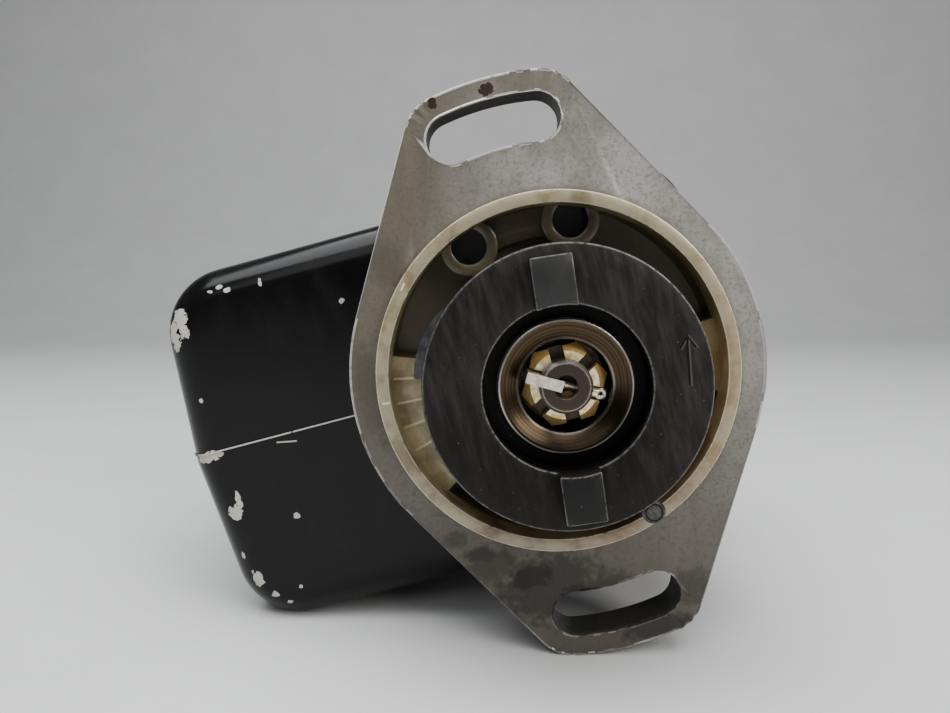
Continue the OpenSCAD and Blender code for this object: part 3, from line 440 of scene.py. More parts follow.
def boxShell():
    # rounded box: its front end has eased edges, its back end is open to the cavity
    b = box
    length, steps, near = b["front"] - b["joint"], b["edgeSteps"], 0.01
    bm = bmesh.new()
    bmesh.ops.triangle_fill(bm, edges=loopOf(bm, boxOutline(), b["joint"]), use_beauty=True, use_dissolve=True,
                            normal=(0, 0, 1))
    cap = facesOf(bmesh.ops.extrude_face_region(bm, geom=bm.faces[:], use_keep_orig=True)["geom"])
    rise = length - b["edge"]
    for step in range(steps + 1):
        bmesh.ops.translate(bm, verts=list({v for f in cap for v in f.verts}), vec=(0, 0, rise))
        if step < steps:
            low, high = math.radians(90 * step / steps), math.radians(90 * (step + 1) / steps)
            bmesh.ops.inset_region(bm, faces=cap, thickness=b["edge"] * (math.cos(low) - math.cos(high)),
                                   use_even_offset=True)
            rise = b["edge"] * (math.sin(high) - math.sin(low))
    bmesh.ops.recalc_face_normals(bm, faces=bm.faces)
    # parting ridge round the middle
    for side in (-1, 1):
        bmesh.ops.bisect_plane(bm, geom=bm.verts[:] + bm.edges[:] + bm.faces[:],
                               plane_co=(0, side * b["ridgeWide"] / 2, 0), plane_no=(0, 1, 0))
    strip = [f for f in bm.faces if abs(f.calc_center_median().y) < b["ridgeWide"] / 2 - near
             and abs(f.normal.y) < 0.1 and abs(f.calc_center_median().z - b["joint"]) > near]
    bmesh.ops.inset_region(bm, faces=strip, thickness=b["ridgeTaper"], depth=b["ridgeHigh"], use_even_offset=True)
    # the cavity goes in from the open end
    mouth = [f for f in bm.faces if abs(f.calc_center_median().z - b["joint"]) < near and abs(f.normal.z) > 0.9]
    bmesh.ops.inset_region(bm, faces=mouth, thickness=b["wall"], use_even_offset=True)
    pushed = bmesh.ops.extrude_face_region(bm, geom=mouth)["geom"]
    bmesh.ops.delete(bm, geom=mouth, context="FACES")
    bmesh.ops.translate(bm, verts=vertsOf(pushed), vec=(0, 0, length - b["wall"]))
    mergeUp(bm)
    return bm


def neckShell():
    # the neck runs back from the flange outside the well and closes behind its floor
    b = box
    top, under, foot = b["neckTop"] - flange["thick"], -well["deep"] - b["neckUnder"], b["front"] - b["neckLap"]
    inner = well["pilot"] - well["wall"] / 2
    bm = bmesh.new()
    turned(bm, [(inner, top), (b["neck"], top), (b["neck"], foot), (b["bearing"], foot),
                (b["bearing"], under), (inner, under)], 128)
    mergeUp(bm)
    return bm


flangeLook = dict(
    light=(0.30, 0.293, 0.27), middle=(0.205, 0.197, 0.175), stain=(0.13, 0.11, 0.08), edge=(0.72, 0.71, 0.68),
    residue=(0.016, 0.014, 0.012), rust=(0.022, 0.011, 0.006), shade=(0.060, 0.050, 0.036), tan=(0.088, 0.072, 0.048),
    # the wall tone is painted shade for the sides and the slots below the face
    wall=(0.030, 0.028, 0.025), metallic=0.5, roughness=(0.4, 0.62), relief=0.045,
    blotchShare=0.4, speckleShare=0.5, shadeShare=0.85, earShare=0.8, tanShare=0.8, wallShadeShare=0.85, rimShare=0.55,
    scratchShare=0.6, wornShare=(0.45, 0.9), wornWhereDull=(1.0, 0.35),
    # place, half-sizes and strength of each oily smudge, mm
    smudges=[((-14, -47, -1), (12, 8, 8), 0.75), ((-17, -44, -1), (6, 3.6, 6), 0.98),
             ((-9, -49.5, -1), (4, 2, 6), 0.95), ((-27, -36, -1), (3.5, 2.2, 6), 0.8),
             ((-25, -39, -2), (6, 4, 8), 0.6), ((-3, -51, 0), (9, 4, 5), 0.7), ((8, -62.5, 0), (9, 2.4, 5), 0.75),
             ((-31.7, -31, -1), (3, 2, 5), 0.5), ((17, -55, 0), (5, 4, 4), 0.5), ((-41, 6, 0), (3, 12, 5), 0.3),
             ((-30, 33, 0), (4, 5, 5), 0.25)],
    # ends and width of each scratch, mm
    scratches=[((-16, 39.3, 0), (-7.1, 43.5, 0), 0.28), ((-7.1, 43.5, 0), (-0.4, 43.5, 0), 0.22),
               ((-27.5, 40.2, 0), (-24.8, 38.6, 0), 0.3), ((-22, 44, 0), (-19, 46.5, 0), 0.22),
               ((12, 46, 0), (17, 43, 0), 0.2), ((-24.5, 51, 0), (-18, 55.5, 0), 0.25),
               ((-23, 48.5, 0), (-17.5, 52.5, 0), 0.2), ((16, 50.5, 0), (19, 50, 0), 0.2)],
    # place, half-sizes and raggedness of each rust pit, mm
    pits=[((-11.3, 63.1, 0), (0.9, 1.4, 2), 0.6), ((0.5, 62.9, 0), (1.6, 1.3, 2), 0.7)])


def flangeFinish():
    look = flangeLook
    finish, tree, shader = startFinish("bareCasting", look["metallic"], look["roughness"])
    place = localPlace(tree)
    x, y, z = parts(tree, place)
    broad = cloud(tree, place, 11, 5, 0.6)
    fine = cloud(tree, place, 1.5, 4, 0.65)
    grain = cloud(tree, place, 0.4, 3, 0.6)
    speckle = cloud(tree, place, 0.75, 4, 0.7)
    colour = tint(tree, band(tree, broad, 0.36, 0.68), look["light"], look["middle"])
    colour = wash(tree, colour, look["stain"], band(tree, fine, 0.5, 0.75), look["blotchShare"])
    colour = wash(tree, colour, look["stain"], band(tree, speckle, 0.46, 0.66), look["speckleShare"])
    # the lower ear is darker
    dull = band(tree, stirred(tree, slant(tree, x, y, 0.3, 0.95), broad, 26), 40, -40)
    colour = wash(tree, colour, look["shade"], dull, look["shadeShare"])
    # the upper left and the top ear are browner
    leftSide = band(tree, stirred(tree, slant(tree, x, y, 0.8, -0.5), broad, 14), -10, -34)
    topEar = times(tree, band(tree, stirred(tree, y, broad, 10), 46, 64), look["earShare"])
    colour = wash(tree, colour, look["tan"], most(tree, [leftSide, topEar]), look["tanShare"])
    # painted shade: the sides and the slots are darkened below the face; the corner round the ring is browner
    wallShade = band(tree, stirred(tree, z, fine, 0.8), -0.3, -1.6)
    colour = wash(tree, colour, look["wall"], wallShade, look["wallShadeShare"])
    rim = band(tree, stirred(tree, fromAxis(tree, place), fine, 3), well["pilot"] + 3.2, well["pilot"] + 1.0)
    colour = wash(tree, colour, look["stain"], rim, look["rimShare"])
    scratches = most(tree, [stroke(tree, place, *line) for line in look["scratches"]])
    worn = times(tree, chamferMask(tree), span(tree, band(tree, fine, 0.3, 0.5), *look["wornShare"]))
    worn = times(tree, worn, span(tree, dull, *look["wornWhereDull"]))
    bright = most(tree, [times(tree, scratches, look["scratchShare"]), worn])
    colour = tint(tree, bright, colour, look["edge"])
    smudges = [times(tree, patch(tree, place, at, size, 0.75, 2.0, 0.4), share) for at, size, share in look["smudges"]]
    colour = tint(tree, most(tree, smudges), colour, look["residue"])
    pits = most(tree, [patch(tree, place, at, size, ragged, 0.9) for at, size, ragged in look["pits"]])
    colour = tint(tree, pits, colour, look["rust"])
    height = sums(tree, "SUBTRACT", stirred(tree, grain, fine, 0.6), times(tree, pits, 2))
    closeFinish(tree, shader, colour, span(tree, fine, *look["roughness"]), height, look["relief"])
    return finish


wellLook = dict(
    face=(0.34, 0.28, 0.15), olive=(0.15, 0.115, 0.052), amber=(0.23, 0.135, 0.045), top=(0.33, 0.30, 0.225),
    # the boss, deep and hole tones are painted shade for the depths of the well
    boss=(0.050, 0.037, 0.017), deep=(0.052, 0.036, 0.016), hole=(0.004, 0.0035, 0.003), tick=(0.75, 0.66, 0.48),
    line=(0.55, 0.46, 0.28), edge=(0.85, 0.78, 0.62), rust=(0.11, 0.052, 0.024),
    metallic=0.25, roughness=(0.3, 0.55), coat=0.45, coatRoughness=0.14, relief=0.05,
    amberShare=0.55, lowShare=0.5, topShare=(0.5, 0.1), bossShadeShare=0.85, depthShadeShare=0.8, rustShare=0.85, edgeShare=0.8,
    rustAt=(*swing(33, -47), -3), rustSize=(9, 9, 4.4),
    # angles, inner and outer ends of the timing lines on the left ledge
    lines=(168, 177, 186, 195), lineFrom=31, lineTo=36.5, lineWide=0.5, lineShare=0.75,
    # ends of the short bright nicks, mm
    nicks=[((26.6, -24.8, -4), (28.4, -23.6, -4)), ((24.6, -27.4, -4), (26, -26.2, -4)),
           ((22.4, -29.2, -4), (23.6, -27.8, -4)), ((-38.6, 3.6, 2.4), (-37.2, 3.4, 2.4)),
           ((33.6, 9.4, -4), (35.6, 11.4, -4)), ((-28, 26.6, 2.4), (-27.2, 27.6, 2.4))], nickWide=0.4)


def wellFinish():
    look = wellLook
    finish, tree, shader = startFinish("varnishedWell", look["metallic"], look["roughness"])
    shader.inputs["Coat Weight"].default_value = look["coat"]
    shader.inputs["Coat Roughness"].default_value = look["coatRoughness"]
    place = localPlace(tree)
    x, y, z = parts(tree, place)
    broad = cloud(tree, place, 9, 4, 0.6)
    fine = cloud(tree, place, 1.6, 4, 0.65)
    colour = tint(tree, band(tree, broad, 0.38, 0.66), look["face"], look["olive"])
    # amber varnish is thickest on the right and lower sides
    amber = band(tree, stirred(tree, slant(tree, x, y, 0.8, -0.55), broad, 20), 14, 42)
    colour = wash(tree, colour, look["amber"], amber, look["amberShare"])
    low = band(tree, sums(tree, "SUBTRACT", times(tree, broad, 12), y), 30, 40)
    colour = wash(tree, colour, look["rust"], low, look["lowShare"])
    # the ring's top is paler; painted shade: the boss tops and the floor are darkened the deeper they lie in the well
    top = band(tree, sums(tree, "ADD", z, fine), 2.0, 2.8)
    colour = wash(tree, colour, look["top"], top, span(tree, band(tree, broad, 0.4, 0.62), *look["topShare"]))
    bosses = band(tree, stirred(tree, z, fine, 0.6), -3.9, -5.2)
    colour = wash(tree, colour, look["boss"], bosses, look["bossShadeShare"])
    floor = band(tree, stirred(tree, z, fine, 3), -5.5, -11)
    colour = wash(tree, colour, look["deep"], floor, look["depthShadeShare"])
    rusty = patch(tree, place, look["rustAt"], look["rustSize"], 0.4, 2.5, 0.3)
    colour = wash(tree, colour, look["rust"], rusty, look["rustShare"])
    # edges near the mouth are worn bright
    worn = times(tree, times(tree, chamferMask(tree), band(tree, z, -6.4, -3.2)), band(tree, fine, 0.34, 0.5))
    colour = wash(tree, colour, look["edge"], worn, look["edgeShare"])
    ledgeTop = -well["ledges"][0][3]
    lines = [stroke(tree, place, (*swing(look["lineFrom"], d), ledgeTop), (*swing(look["lineTo"], d), ledgeTop),
                    look["lineWide"]) for d in look["lines"]]
    colour = wash(tree, colour, look["line"], most(tree, lines), look["lineShare"])
    nicks = [stroke(tree, place, a, b, look["nickWide"]) for a, b in look["nicks"]]
    colour = tint(tree, most(tree, nicks), colour, look["tick"])
    # painted shade: the insides of the four pin holes are painted near black
    flat = vectors(tree, "MULTIPLY", place, (1, 1, 0))
    gaps = [vectors(tree, "DISTANCE", flat, (*swing(well["stopCircle"], d), 0), out="Value") for d in stopTurns]
    inside = most(tree, [band(tree, gap, well["stopHole"] + 0.2, well["stopHole"] - 0.05) for gap in gaps])
    below = band(tree, z, -well["stopDeep"] - 0.2, -well["stopDeep"] - 1.2)
    colour = wash(tree, colour, look["hole"], inside, below)
    height = sums(tree, "ADD", fine, cloud(tree, place, 0.5, 3))
    closeFinish(tree, shader, colour, span(tree, fine, *look["roughness"]), height, look["relief"])
    return finish


paintLook = dict(
    paint=(0.0030, 0.0030, 0.0032), dust=(0.011, 0.0105, 0.0098), bare=(0.56, 0.54, 0.48), rim=(0.30, 0.285, 0.25),
    gloss=0.2, roughness=(0.10, 0.30), chipRoughness=0.35, dustShare=0.35, relief=0.05,
    # ends and width of the scuff under the ridge, mm
    scuff=((-70.1, -1.6, -18), (-65.4, -2.5, -18), 0.35),
    # place and half-sizes of each chip, mm
    chips=[((-84.8, 34.0, -19), (2.2, 2.4, 4)), ((-87.6, 30.2, -20), (1.7, 3.2, 4)),
           ((-84.4, 30.6, -18.6), (1.4, 1.8, 3)), ((-73, 38.7, -18.7), (1.3, 0.5, 2)),
           ((-71.2, 37.6, -18.3), (0.9, 0.6, 2)), ((-75.5, 38.2, -18.7), (0.7, 0.4, 2)),
           ((-63, 37.1, -18.2), (0.45, 1.2, 2)), ((-45.1, 27.8, -18), (0.7, 0.6, 2)),
           ((-85.3, 13, -18.1), (0.5, 0.6, 2)), ((-88.2, -0.9, -19.5), (4.2, 1.3, 4.5)),
           ((-85.2, -16.2, -18), (1.7, 1.9, 3)), ((-83.6, -13.4, -18), (0.75, 2.2, 3)),
           ((-86.3, -15.2, -18.2), (0.9, 0.9, 3)), ((-70.5, -20.7, -18), (0.8, 0.8, 2)),
           ((-84.9, -34, -18.4), (1.5, 2.2, 3)), ((-86.8, -27.5, -18.8), (0.5, 0.9, 2)),
           ((-81.8, -39, -18.4), (1.0, 0.8, 2)), ((-78.7, -42, -18.8), (0.9, 0.6, 2)),
           ((-74.8, -38.6, -18), (0.5, 0.5, 2))])


def paintFinish(name, chips, partingLine):
    look = paintLook
    finish, tree, shader = startFinish(name, 0.0, look["roughness"])
    shader.inputs["Specular IOR Level"].default_value = look["gloss"]
    place = localPlace(tree)
    x, y, z = parts(tree, place)
    smear = cloud(tree, place, 9, 5, 0.6, (1.4, 0.5, 1))
    fine = cloud(tree, place, 1.2, 4, 0.7)
    colour = wash(tree, look["paint"], look["dust"], band(tree, smear, 0.48, 0.75), look["dustShare"])
    masks = [patch(tree, place, at, size, 0.95, 1.3) for at, size in chips]
    masks.append(band(tree, cloud(tree, place, 2.6, 6, 0.75), 0.765, 0.775))
    if partingLine:
        # the moulded ridge has lost its paint along the front, outside the neck
        ridge = times(tree, lineAt(tree, y, 0, 0.27, 0.12), band(tree, fine, 0.28, 0.4))
        ridge = times(tree, ridge, band(tree, x, -box["neck"] - 0.4, -box["neck"] - 1.4))
        masks.append(times(tree, ridge, band(tree, z, box["front"] - 2.5, box["front"] - 1.5)))
        masks.append(stroke(tree, place, *look["scuff"]))
    chipped = most(tree, masks)
    # dust sits in the joint between the two castings
    seam = lineAt(tree, z, box["joint"], 0.32, 0.14)
    colour = tint(tree, seam, colour, look["dust"])
    colour = tint(tree, chipped, colour, tint(tree, fine, look["bare"], look["rim"]))
    rough = sums(tree, "ADD", span(tree, smear, *look["roughness"]), times(tree, chipped, look["chipRoughness"]), True)
    height = sums(tree, "SUBTRACT", times(tree, cloud(tree, place, 4, 3), 0.5), stirred(tree, chipped, seam, 4))
    closeFinish(tree, shader, colour, rough, height, look["relief"])
    return finish


casting = bmesh.new()
addShell(casting, flangeShell(), 0)
addShell(casting, ringShell(), 1)
for turn in stopTurns:
    addShell(casting, stopBossShell(turn), 1)
for ledge in well["ledges"]:
    addShell(casting, ledgeShell(*ledge), 1)
addShell(casting, neckShell(), 2)
addShell(casting, boxShell(), 2)
makePiece("driveCasting", casting, "housing",
          [flangeFinish(), wellFinish(), paintFinish("blackPaint", paintLook["chips"], True)], ["drive_housing"])


# driven disc of the snap coupling, mm
disc = dict(radius=28, back=6.2, front=24.2, recess=16.25, recessFloor=17.0, bore=13.35, web=14.2, rim=3.3, ease=0.55,
            lugWide=8.1, lugHigh=3.4, lugInset=2.3, lugSwing=6.5, lugRoot=1, lugEase=0.45)


def discShell():
    d = disc
    bm = bmesh.new()
    turned(bm, [(d["bore"], d["web"]), (d["bore"], d["recessFloor"]), (d["recess"], d["recessFloor"]),
                (d["recess"], d["front"]), (d["radius"], d["front"]), (d["radius"], d["back"]),
                (d["radius"] - d["rim"], d["back"]), (d["radius"] - d["rim"], d["web"])], 160)
    mergeUp(bm)
    soften(bm, d["ease"], lambda e: lowest(e) > d["front"] - 0.1 or highest(e) < d["back"] + 0.1)
    return bm


def lugShell(turn):
    d = disc
    half, outer = d["lugWide"] / 2, d["radius"] - d["lugInset"]
    spread = math.degrees(math.asin(half / d["recess"]))
    outline = [(half, outer), (-half, outer)] + arc((0, 0), d["recess"], 90 + spread, 90 - spread, 8)
    bm = bmesh.new()
    bmesh.ops.triangle_fill(bm, edges=loopOf(bm, outline, d["front"] - d["lugRoot"]), use_beauty=True,
                            use_dissolve=True, normal=(0, 0, 1))
    made = bmesh.ops.extrude_face_region(bm, geom=bm.faces[:])["geom"]
    bmesh.ops.translate(bm, verts=vertsOf(made), vec=(0, 0, d["lugHigh"] + d["lugRoot"]))
    mergeUp(bm)
    soften(bm, d["lugEase"], lambda e: highest(e) > d["front"], 40)
    bmesh.ops.rotate(bm, verts=bm.verts, cent=(0, 0, 0), matrix=Matrix.Rotation(math.radians(turn), 3, "Z"))
    return bm


discLook = dict(
    dark=(0.0115, 0.0105, 0.009), pale=(0.030, 0.0275, 0.024), lug=(0.031, 0.0305, 0.030), speck=(0.20, 0.19, 0.17),
    # the near-black tone is painted shade for the recess, the cut arrow and the lower side; the pale far-edge tone is a
    # painted highlight
    edge=(0.24, 0.232, 0.215), paintedShade=(0.004, 0.0037, 0.0033), cutHighlight=(0.085, 0.08, 0.072),
    metallic=0.6, gloss=0.3, roughness=(0.3, 0.55), relief=0.08,
    paintedShadeShare=0.7, speckShare=0.7, edgeShare=0.8, cutHighlightShare=0.8, cutHighlightShift=(0.28, -0.1, 0), arrowWide=0.4,
    # ends of the strokes of the plain turning arrow, mm
    arrow=[((22.6, -5), (24.2, 4.2)), ((24.2, 4.2), (22.4, 2.2)), ((24.2, 4.2), (25.3, 1.8))])


def discFinish():
    look, front = discLook, disc["front"]
    finish, tree, shader = startFinish("gunmetal", look["metallic"], look["roughness"])
    shader.inputs["Specular IOR Level"].default_value = look["gloss"]
    place = localPlace(tree)
    x, y, z = parts(tree, place)
    smear = cloud(tree, place, 4, 5, 0.65, (1.8, 0.35, 1))
    fine = cloud(tree, place, 0.9, 4, 0.7)
    colour = tint(tree, band(tree, smear, 0.36, 0.7), look["dark"], look["pale"])
    colour = tint(tree, band(tree, z, front + 0.4, front + 1.0), colour, look["lug"])
    # painted shade: near black below the front face, in the recess and down the sides
    colour = tint(tree, band(tree, z, front - 0.8, front - 2.2), colour, look["paintedShade"])
    # painted shade: its lower side is darkened
    lowerShade = band(tree, stirred(tree, slant(tree, x, y, 0.4, 0.9), smear, 16), 14, -16)
    colour = wash(tree, colour, look["paintedShade"], lowerShade, look["paintedShadeShare"])
    specks = band(tree, cloud(tree, place, 0.55, 2, 0.5), 0.735, 0.76)
    colour = wash(tree, colour, look["speck"], specks, look["speckShare"])
    worn = times(tree, chamferMask(tree), band(tree, fine, 0.32, 0.55))
    colour = wash(tree, colour, look["edge"], worn, look["edgeShare"])
    # the arrow is cut in: painted shade fills it and a painted highlight lies along its far edge
    shifted = vectors(tree, "SUBTRACT", place, look["cutHighlightShift"])
    arrow, cutHighlight = [most(tree, [stroke(tree, at, (*a, front), (*b, front), look["arrowWide"]) for a, b in look["arrow"]])
                   for at in (place, shifted)]
    colour = wash(tree, colour, look["cutHighlight"], cutHighlight, look["cutHighlightShare"])
    colour = tint(tree, arrow, colour, look["paintedShade"])
    height = sums(tree, "SUBTRACT", times(tree, fine, 0.4), arrow)
    closeFinish(tree, shader, colour, span(tree, smear, *look["roughness"]), height, look["relief"])
    return finish


coupling = bmesh.new()
addShell(coupling, discShell())
for turn in (0, 180):
    addShell(coupling, lugShell(turn - disc["lugSwing"]))
makePiece("couplingDisc", coupling, "coupling", [discFinish()], ["coupling_disc"])


# hub of the snap coupling, mm
hub = dict(radius=13.8, plateRadius=24, plateThick=3, back=-8, spigotWall=3, spigotLong=1, front=20.8, seat=7,
           nutWell=9.23, wellFloor=9.3, lip=1.2, dish=1.8, rimDrop=0.8, rimEase=0.5, ease=0.25)


def hubShell():
    h = hub
    spigot, shoulder = h["seat"] + h["spigotWall"], h["back"] + h["spigotLong"]
    bm = bmesh.new()
    turned(bm, [(h["seat"], h["back"]), (spigot, h["back"]), (spigot, shoulder), (h["radius"], shoulder),
                (h["radius"], -h["plateThick"]), (h["plateRadius"], -h["plateThick"]), (h["plateRadius"], 0),
                (h["radius"], 0), (h["radius"], h["front"] - h["rimDrop"]), (h["radius"] - h["rimEase"], h["front"]),
                (h["radius"] - h["lip"], h["front"]), (h["nutWell"], h["front"] - h["dish"]),
                (h["nutWell"], h["wellFloor"]), (h["seat"], h["wellFloor"])], 128)
    mergeUp(bm)
    soften(bm, h["ease"], lambda e: lowest(e) > h["front"] - 2.5, 25)
    return bm


hubLook = dict(
    # the rim tone is a painted highlight; the dark tone is painted shade
    bright=(0.058, 0.039, 0.022), brown=(0.034, 0.021, 0.011), dark=(0.014, 0.010, 0.006), rim=(0.88, 0.84, 0.78),
    metallic=0.95, roughness=(0.18, 0.34), relief=0.006,
    ringsPerMm=2.2, waver=0.8, innerHighlightShare=0.7, rimShare=(0.2, 0.6), depthShadeShare=0.88, paintedShadeShare=0.8)


def hubFinish():
    look, front = hubLook, hub["front"]
    finish, tree, shader = startFinish("stainedHub", look["metallic"], look["roughness"])
    place = localPlace(tree)
    y, z = parts(tree, place)[1:]
    radius = fromAxis(tree, place)
    waver = cloud(tree, vectors(tree, "MULTIPLY", place, (0.05, 0.05, 0.3)), 1.0, 2)
    # turning marks: noise that runs only with the radius
    marks = tree.nodes.new("ShaderNodeTexNoise")
    marks.noise_dimensions = "1D"
    marks.inputs["Scale"].default_value = look["ringsPerMm"]
    marks.inputs["Detail"].default_value = 4
    tree.links.new(stirred(tree, radius, waver, look["waver"]), marks.inputs["W"])
    rings = marks.outputs["Fac"]
    colour = tint(tree, band(tree, rings, 0.45, 0.62), look["bright"], look["brown"])
    # painted highlight: bright outer and inner rims
    outerRimHighlight = times(tree, band(tree, radius, hub["radius"] - 1.1, hub["radius"] - 0.6),
                     band(tree, z, front - 1.8, front - 1.0))
    innerRimHighlight = times(tree, lineAt(tree, radius, hub["nutWell"] + 0.32, 0.3, 0.18), look["innerHighlightShare"])
    rimShare = span(tree, band(tree, rings, 0.4, 0.6), *look["rimShare"])
    colour = wash(tree, colour, look["rim"], most(tree, [outerRimHighlight, innerRimHighlight]), rimShare)
    # painted shade: darker down into the nut well
    colour = wash(tree, colour, look["dark"], band(tree, z, front - 2.2, front - 4.8), look["depthShadeShare"])
    # painted shade on its lower side
    lowShade = band(tree, stirred(tree, y, waver, 4), 3, -8)
    colour = wash(tree, colour, look["dark"], lowShade, look["paintedShadeShare"])
    closeFinish(tree, shader, colour, span(tree, rings, *look["roughness"]), rings, look["relief"])
    return finish


makePiece("couplingHub", hubShell(), "rotor", [hubFinish()], ["coupling_hub"])


# finishes of the CAD pieces that stay

pinLook = dict(dark=(0.045, 0.042, 0.038), pale=(0.10, 0.097, 0.09), ring=(0.015, 0.014, 0.013), groove=1.75,
               metallic=0.85, roughness=(0.3, 0.5), relief=0.1)


def pinFinish():
    # dark pin with a ring turned in its end
    look = pinLook
    finish, tree, shader = startFinish("darkPin", look["metallic"], look["roughness"])
    place = localPlace(tree)
    pinAt = swing(well["stopCircle"], stopTurns[-1])
    radius = fromAxis(tree, vectors(tree, "SUBTRACT", place, (*pinAt, 0)))
    fine = cloud(tree, place, 0.8, 4, 0.65)
    colour = tint(tree, band(tree, fine, 0.35, 0.65), look["dark"], look["pale"])
    groove = lineAt(tree, radius, look["groove"], 0.25, 0.12)
    colour = tint(tree, groove, colour, look["ring"])
    height = sums(tree, "SUBTRACT", times(tree, fine, 0.3), groove)
    closeFinish(tree, shader, colour, span(tree, fine, *look["roughness"]), height, look["relief"])
    return finish


# the black tone is painted shade for the nut's slots and sides
nutLook = dict(pale=(0.92, 0.83, 0.62), gold=(0.72, 0.50, 0.18), black=(0.010, 0.007, 0.005), edge=(0.66, 0.40, 0.09),
               slotDeep=2.4, edgeShare=0.8, paintedShadeShare=0.95, metallic=0.75, roughness=(0.22, 0.45), relief=0.03)


def nutFinish():
    # plated on top; painted shade: near black down its slots and sides
    look = nutLook
    slotFloor = -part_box("castle_nut")[0].y / mm - look["slotDeep"]
    finish, tree, shader = startFinish("yellowPlate", look["metallic"], look["roughness"])
    place = localPlace(tree)
    z = parts(tree, place)["Z"]
    fine = cloud(tree, place, 1.3, 4, 0.6)
    colour = tint(tree, band(tree, fine, 0.40, 0.62), look["pale"], look["gold"])
    colour = wash(tree, colour, look["edge"], chamferMask(tree), look["edgeShare"])
    low = band(tree, sums(tree, "ADD", z, fine), slotFloor + 1.1, slotFloor - 0.3)
    colour = wash(tree, colour, look["black"], low, look["paintedShadeShare"])
    closeFinish(tree, shader, colour, span(tree, fine, *look["roughness"]), fine, look["relief"])
    return finish


# the hole tone is painted shade and the pale gold tone a painted reflection
shaftLook = dict(face=(0.066, 0.053, 0.042), faceDark=(0.0396, 0.0318, 0.0252), ring=(0.36, 0.32, 0.28),
                 hole=(0.012, 0.009, 0.006), holeReflection=(0.40, 0.31, 0.18), rim=4.55, bore=2.35, ringShare=0.75,
                 metallic=0.9, roughness=(0.22, 0.4), relief=0.015)


def shaftFinish():
    # turned end: a paler outer ring; painted shade in the centre hole, with a painted reflection low down
    look = shaftLook
    finish, tree, shader = startFinish("shaftSteel", look["metallic"], look["roughness"])
    place = localPlace(tree)
    y = parts(tree, place)["Y"]
    radius = fromAxis(tree, place)
    fine = cloud(tree, place, 0.5, 4, 0.6)
    ring = band(tree, stirred(tree, radius, fine, 0.5), look["rim"] + 0.1, look["rim"] + 0.5)
    colour = wash(tree, tint(tree, fine, look["face"], look["faceDark"]), look["ring"], ring, look["ringShare"])
    # painted shade in the bore, with a painted reflection on its lower side
    bore = band(tree, radius, look["bore"] + 0.12, look["bore"] - 0.05)
    colour = tint(tree, bore, colour, tint(tree, band(tree, y, -1.2, -2.1), look["hole"], look["holeReflection"]))
    closeFinish(tree, shader, colour, span(tree, fine, *look["roughness"]), fine, look["relief"])
    return finish


# two tones, metallic, range of roughness and patch size of each plain finish, by the record's slot
plainTones = {
    "plain_steel": dict(name="plainSteel", light=(0.25, 0.215, 0.185), dark=(0.12, 0.10, 0.08), metallic=0.95,
                        roughness=(0.2, 0.42), size=2.0),
    "plated_steel": dict(name="platedSteel", light=(0.60, 0.59, 0.56), dark=(0.42, 0.40, 0.36), metallic=0.95,
                         roughness=(0.22, 0.4), size=2.5),
    "bearing_steel": dict(name="bearingSteel", light=(0.68, 0.68, 0.68), dark=(0.55, 0.55, 0.54), metallic=1.0,
                          roughness=(0.1, 0.22), size=4.0),
    "spring_steel": dict(name="springSteel", light=(0.22, 0.24, 0.28), dark=(0.12, 0.12, 0.14), metallic=0.95,
                         roughness=(0.25, 0.4), size=3.0),
    "dark_steel": dict(name="weightSteel", light=(0.10, 0.10, 0.105), dark=(0.05, 0.05, 0.052), metallic=0.85,
                       roughness=(0.3, 0.5), size=2.5, edge=(0.35, 0.34, 0.33)),
    "lamination": dict(name="laminations", light=(0.34, 0.35, 0.37), dark=(0.18, 0.18, 0.19), metallic=0.9,
                       roughness=(0.3, 0.5), size=1.2, stretch=(0.2, 0.2, 4), relief=0.05),
    "magnet_alloy": dict(name="magnetAlloy", light=(0.42, 0.42, 0.42), dark=(0.28, 0.28, 0.28), metallic=0.9,
                         roughness=(0.3, 0.5), size=3.0),
    "bridge_alloy": dict(name="bridgeAlloy", light=(0.62, 0.62, 0.61), dark=(0.44, 0.44, 0.43), metallic=0.85,
                         roughness=(0.35, 0.55), size=4.0),
    "coil_wrap": dict(name="coilWrap", light=(0.26, 0.13, 0.05), dark=(0.12, 0.055, 0.02), metallic=0.0,
                      roughness=(0.3, 0.5), size=2.0, stretch=(0.3, 3, 0.3), relief=0.1),
    "gear_plastic": dict(name="gearPlastic", light=(0.58, 0.45, 0.27), dark=(0.46, 0.34, 0.19), metallic=0.0,
                         roughness=(0.4, 0.6), size=5.0),
    "block_plastic": dict(name="blockPlastic", light=(0.19, 0.045, 0.03), dark=(0.11, 0.025, 0.018), metallic=0.0,
                          roughness=(0.2, 0.4), size=5.0),
    "brass": dict(name="brass", light=(0.70, 0.52, 0.22), dark=(0.45, 0.31, 0.11), metallic=0.95,
                  roughness=(0.22, 0.45), size=1.5),
    "carbon": dict(name="carbon", light=(0.03, 0.03, 0.03), dark=(0.015, 0.015, 0.015), metallic=0.0,
                   roughness=(0.5, 0.7), size=1.0),
    "arm_fibre": dict(name="armFibre", light=(0.36, 0.20, 0.09), dark=(0.22, 0.11, 0.05), metallic=0.0,
                      roughness=(0.4, 0.6), size=1.5),
    "condenser_can": dict(name="condenserCan", light=(0.66, 0.66, 0.66), dark=(0.50, 0.50, 0.49), metallic=0.95,
                          roughness=(0.25, 0.4), size=3.0),
    "seal_rubber": dict(name="sealRubber", light=(0.03, 0.03, 0.03), dark=(0.015, 0.015, 0.015), metallic=0.0,
                        roughness=(0.5, 0.7), size=1.0),
    "plug_plastic": dict(name="plugPlastic", light=(0.03, 0.03, 0.03), dark=(0.016, 0.016, 0.016), metallic=0.0,
                         roughness=(0.25, 0.45), size=3.0),
}
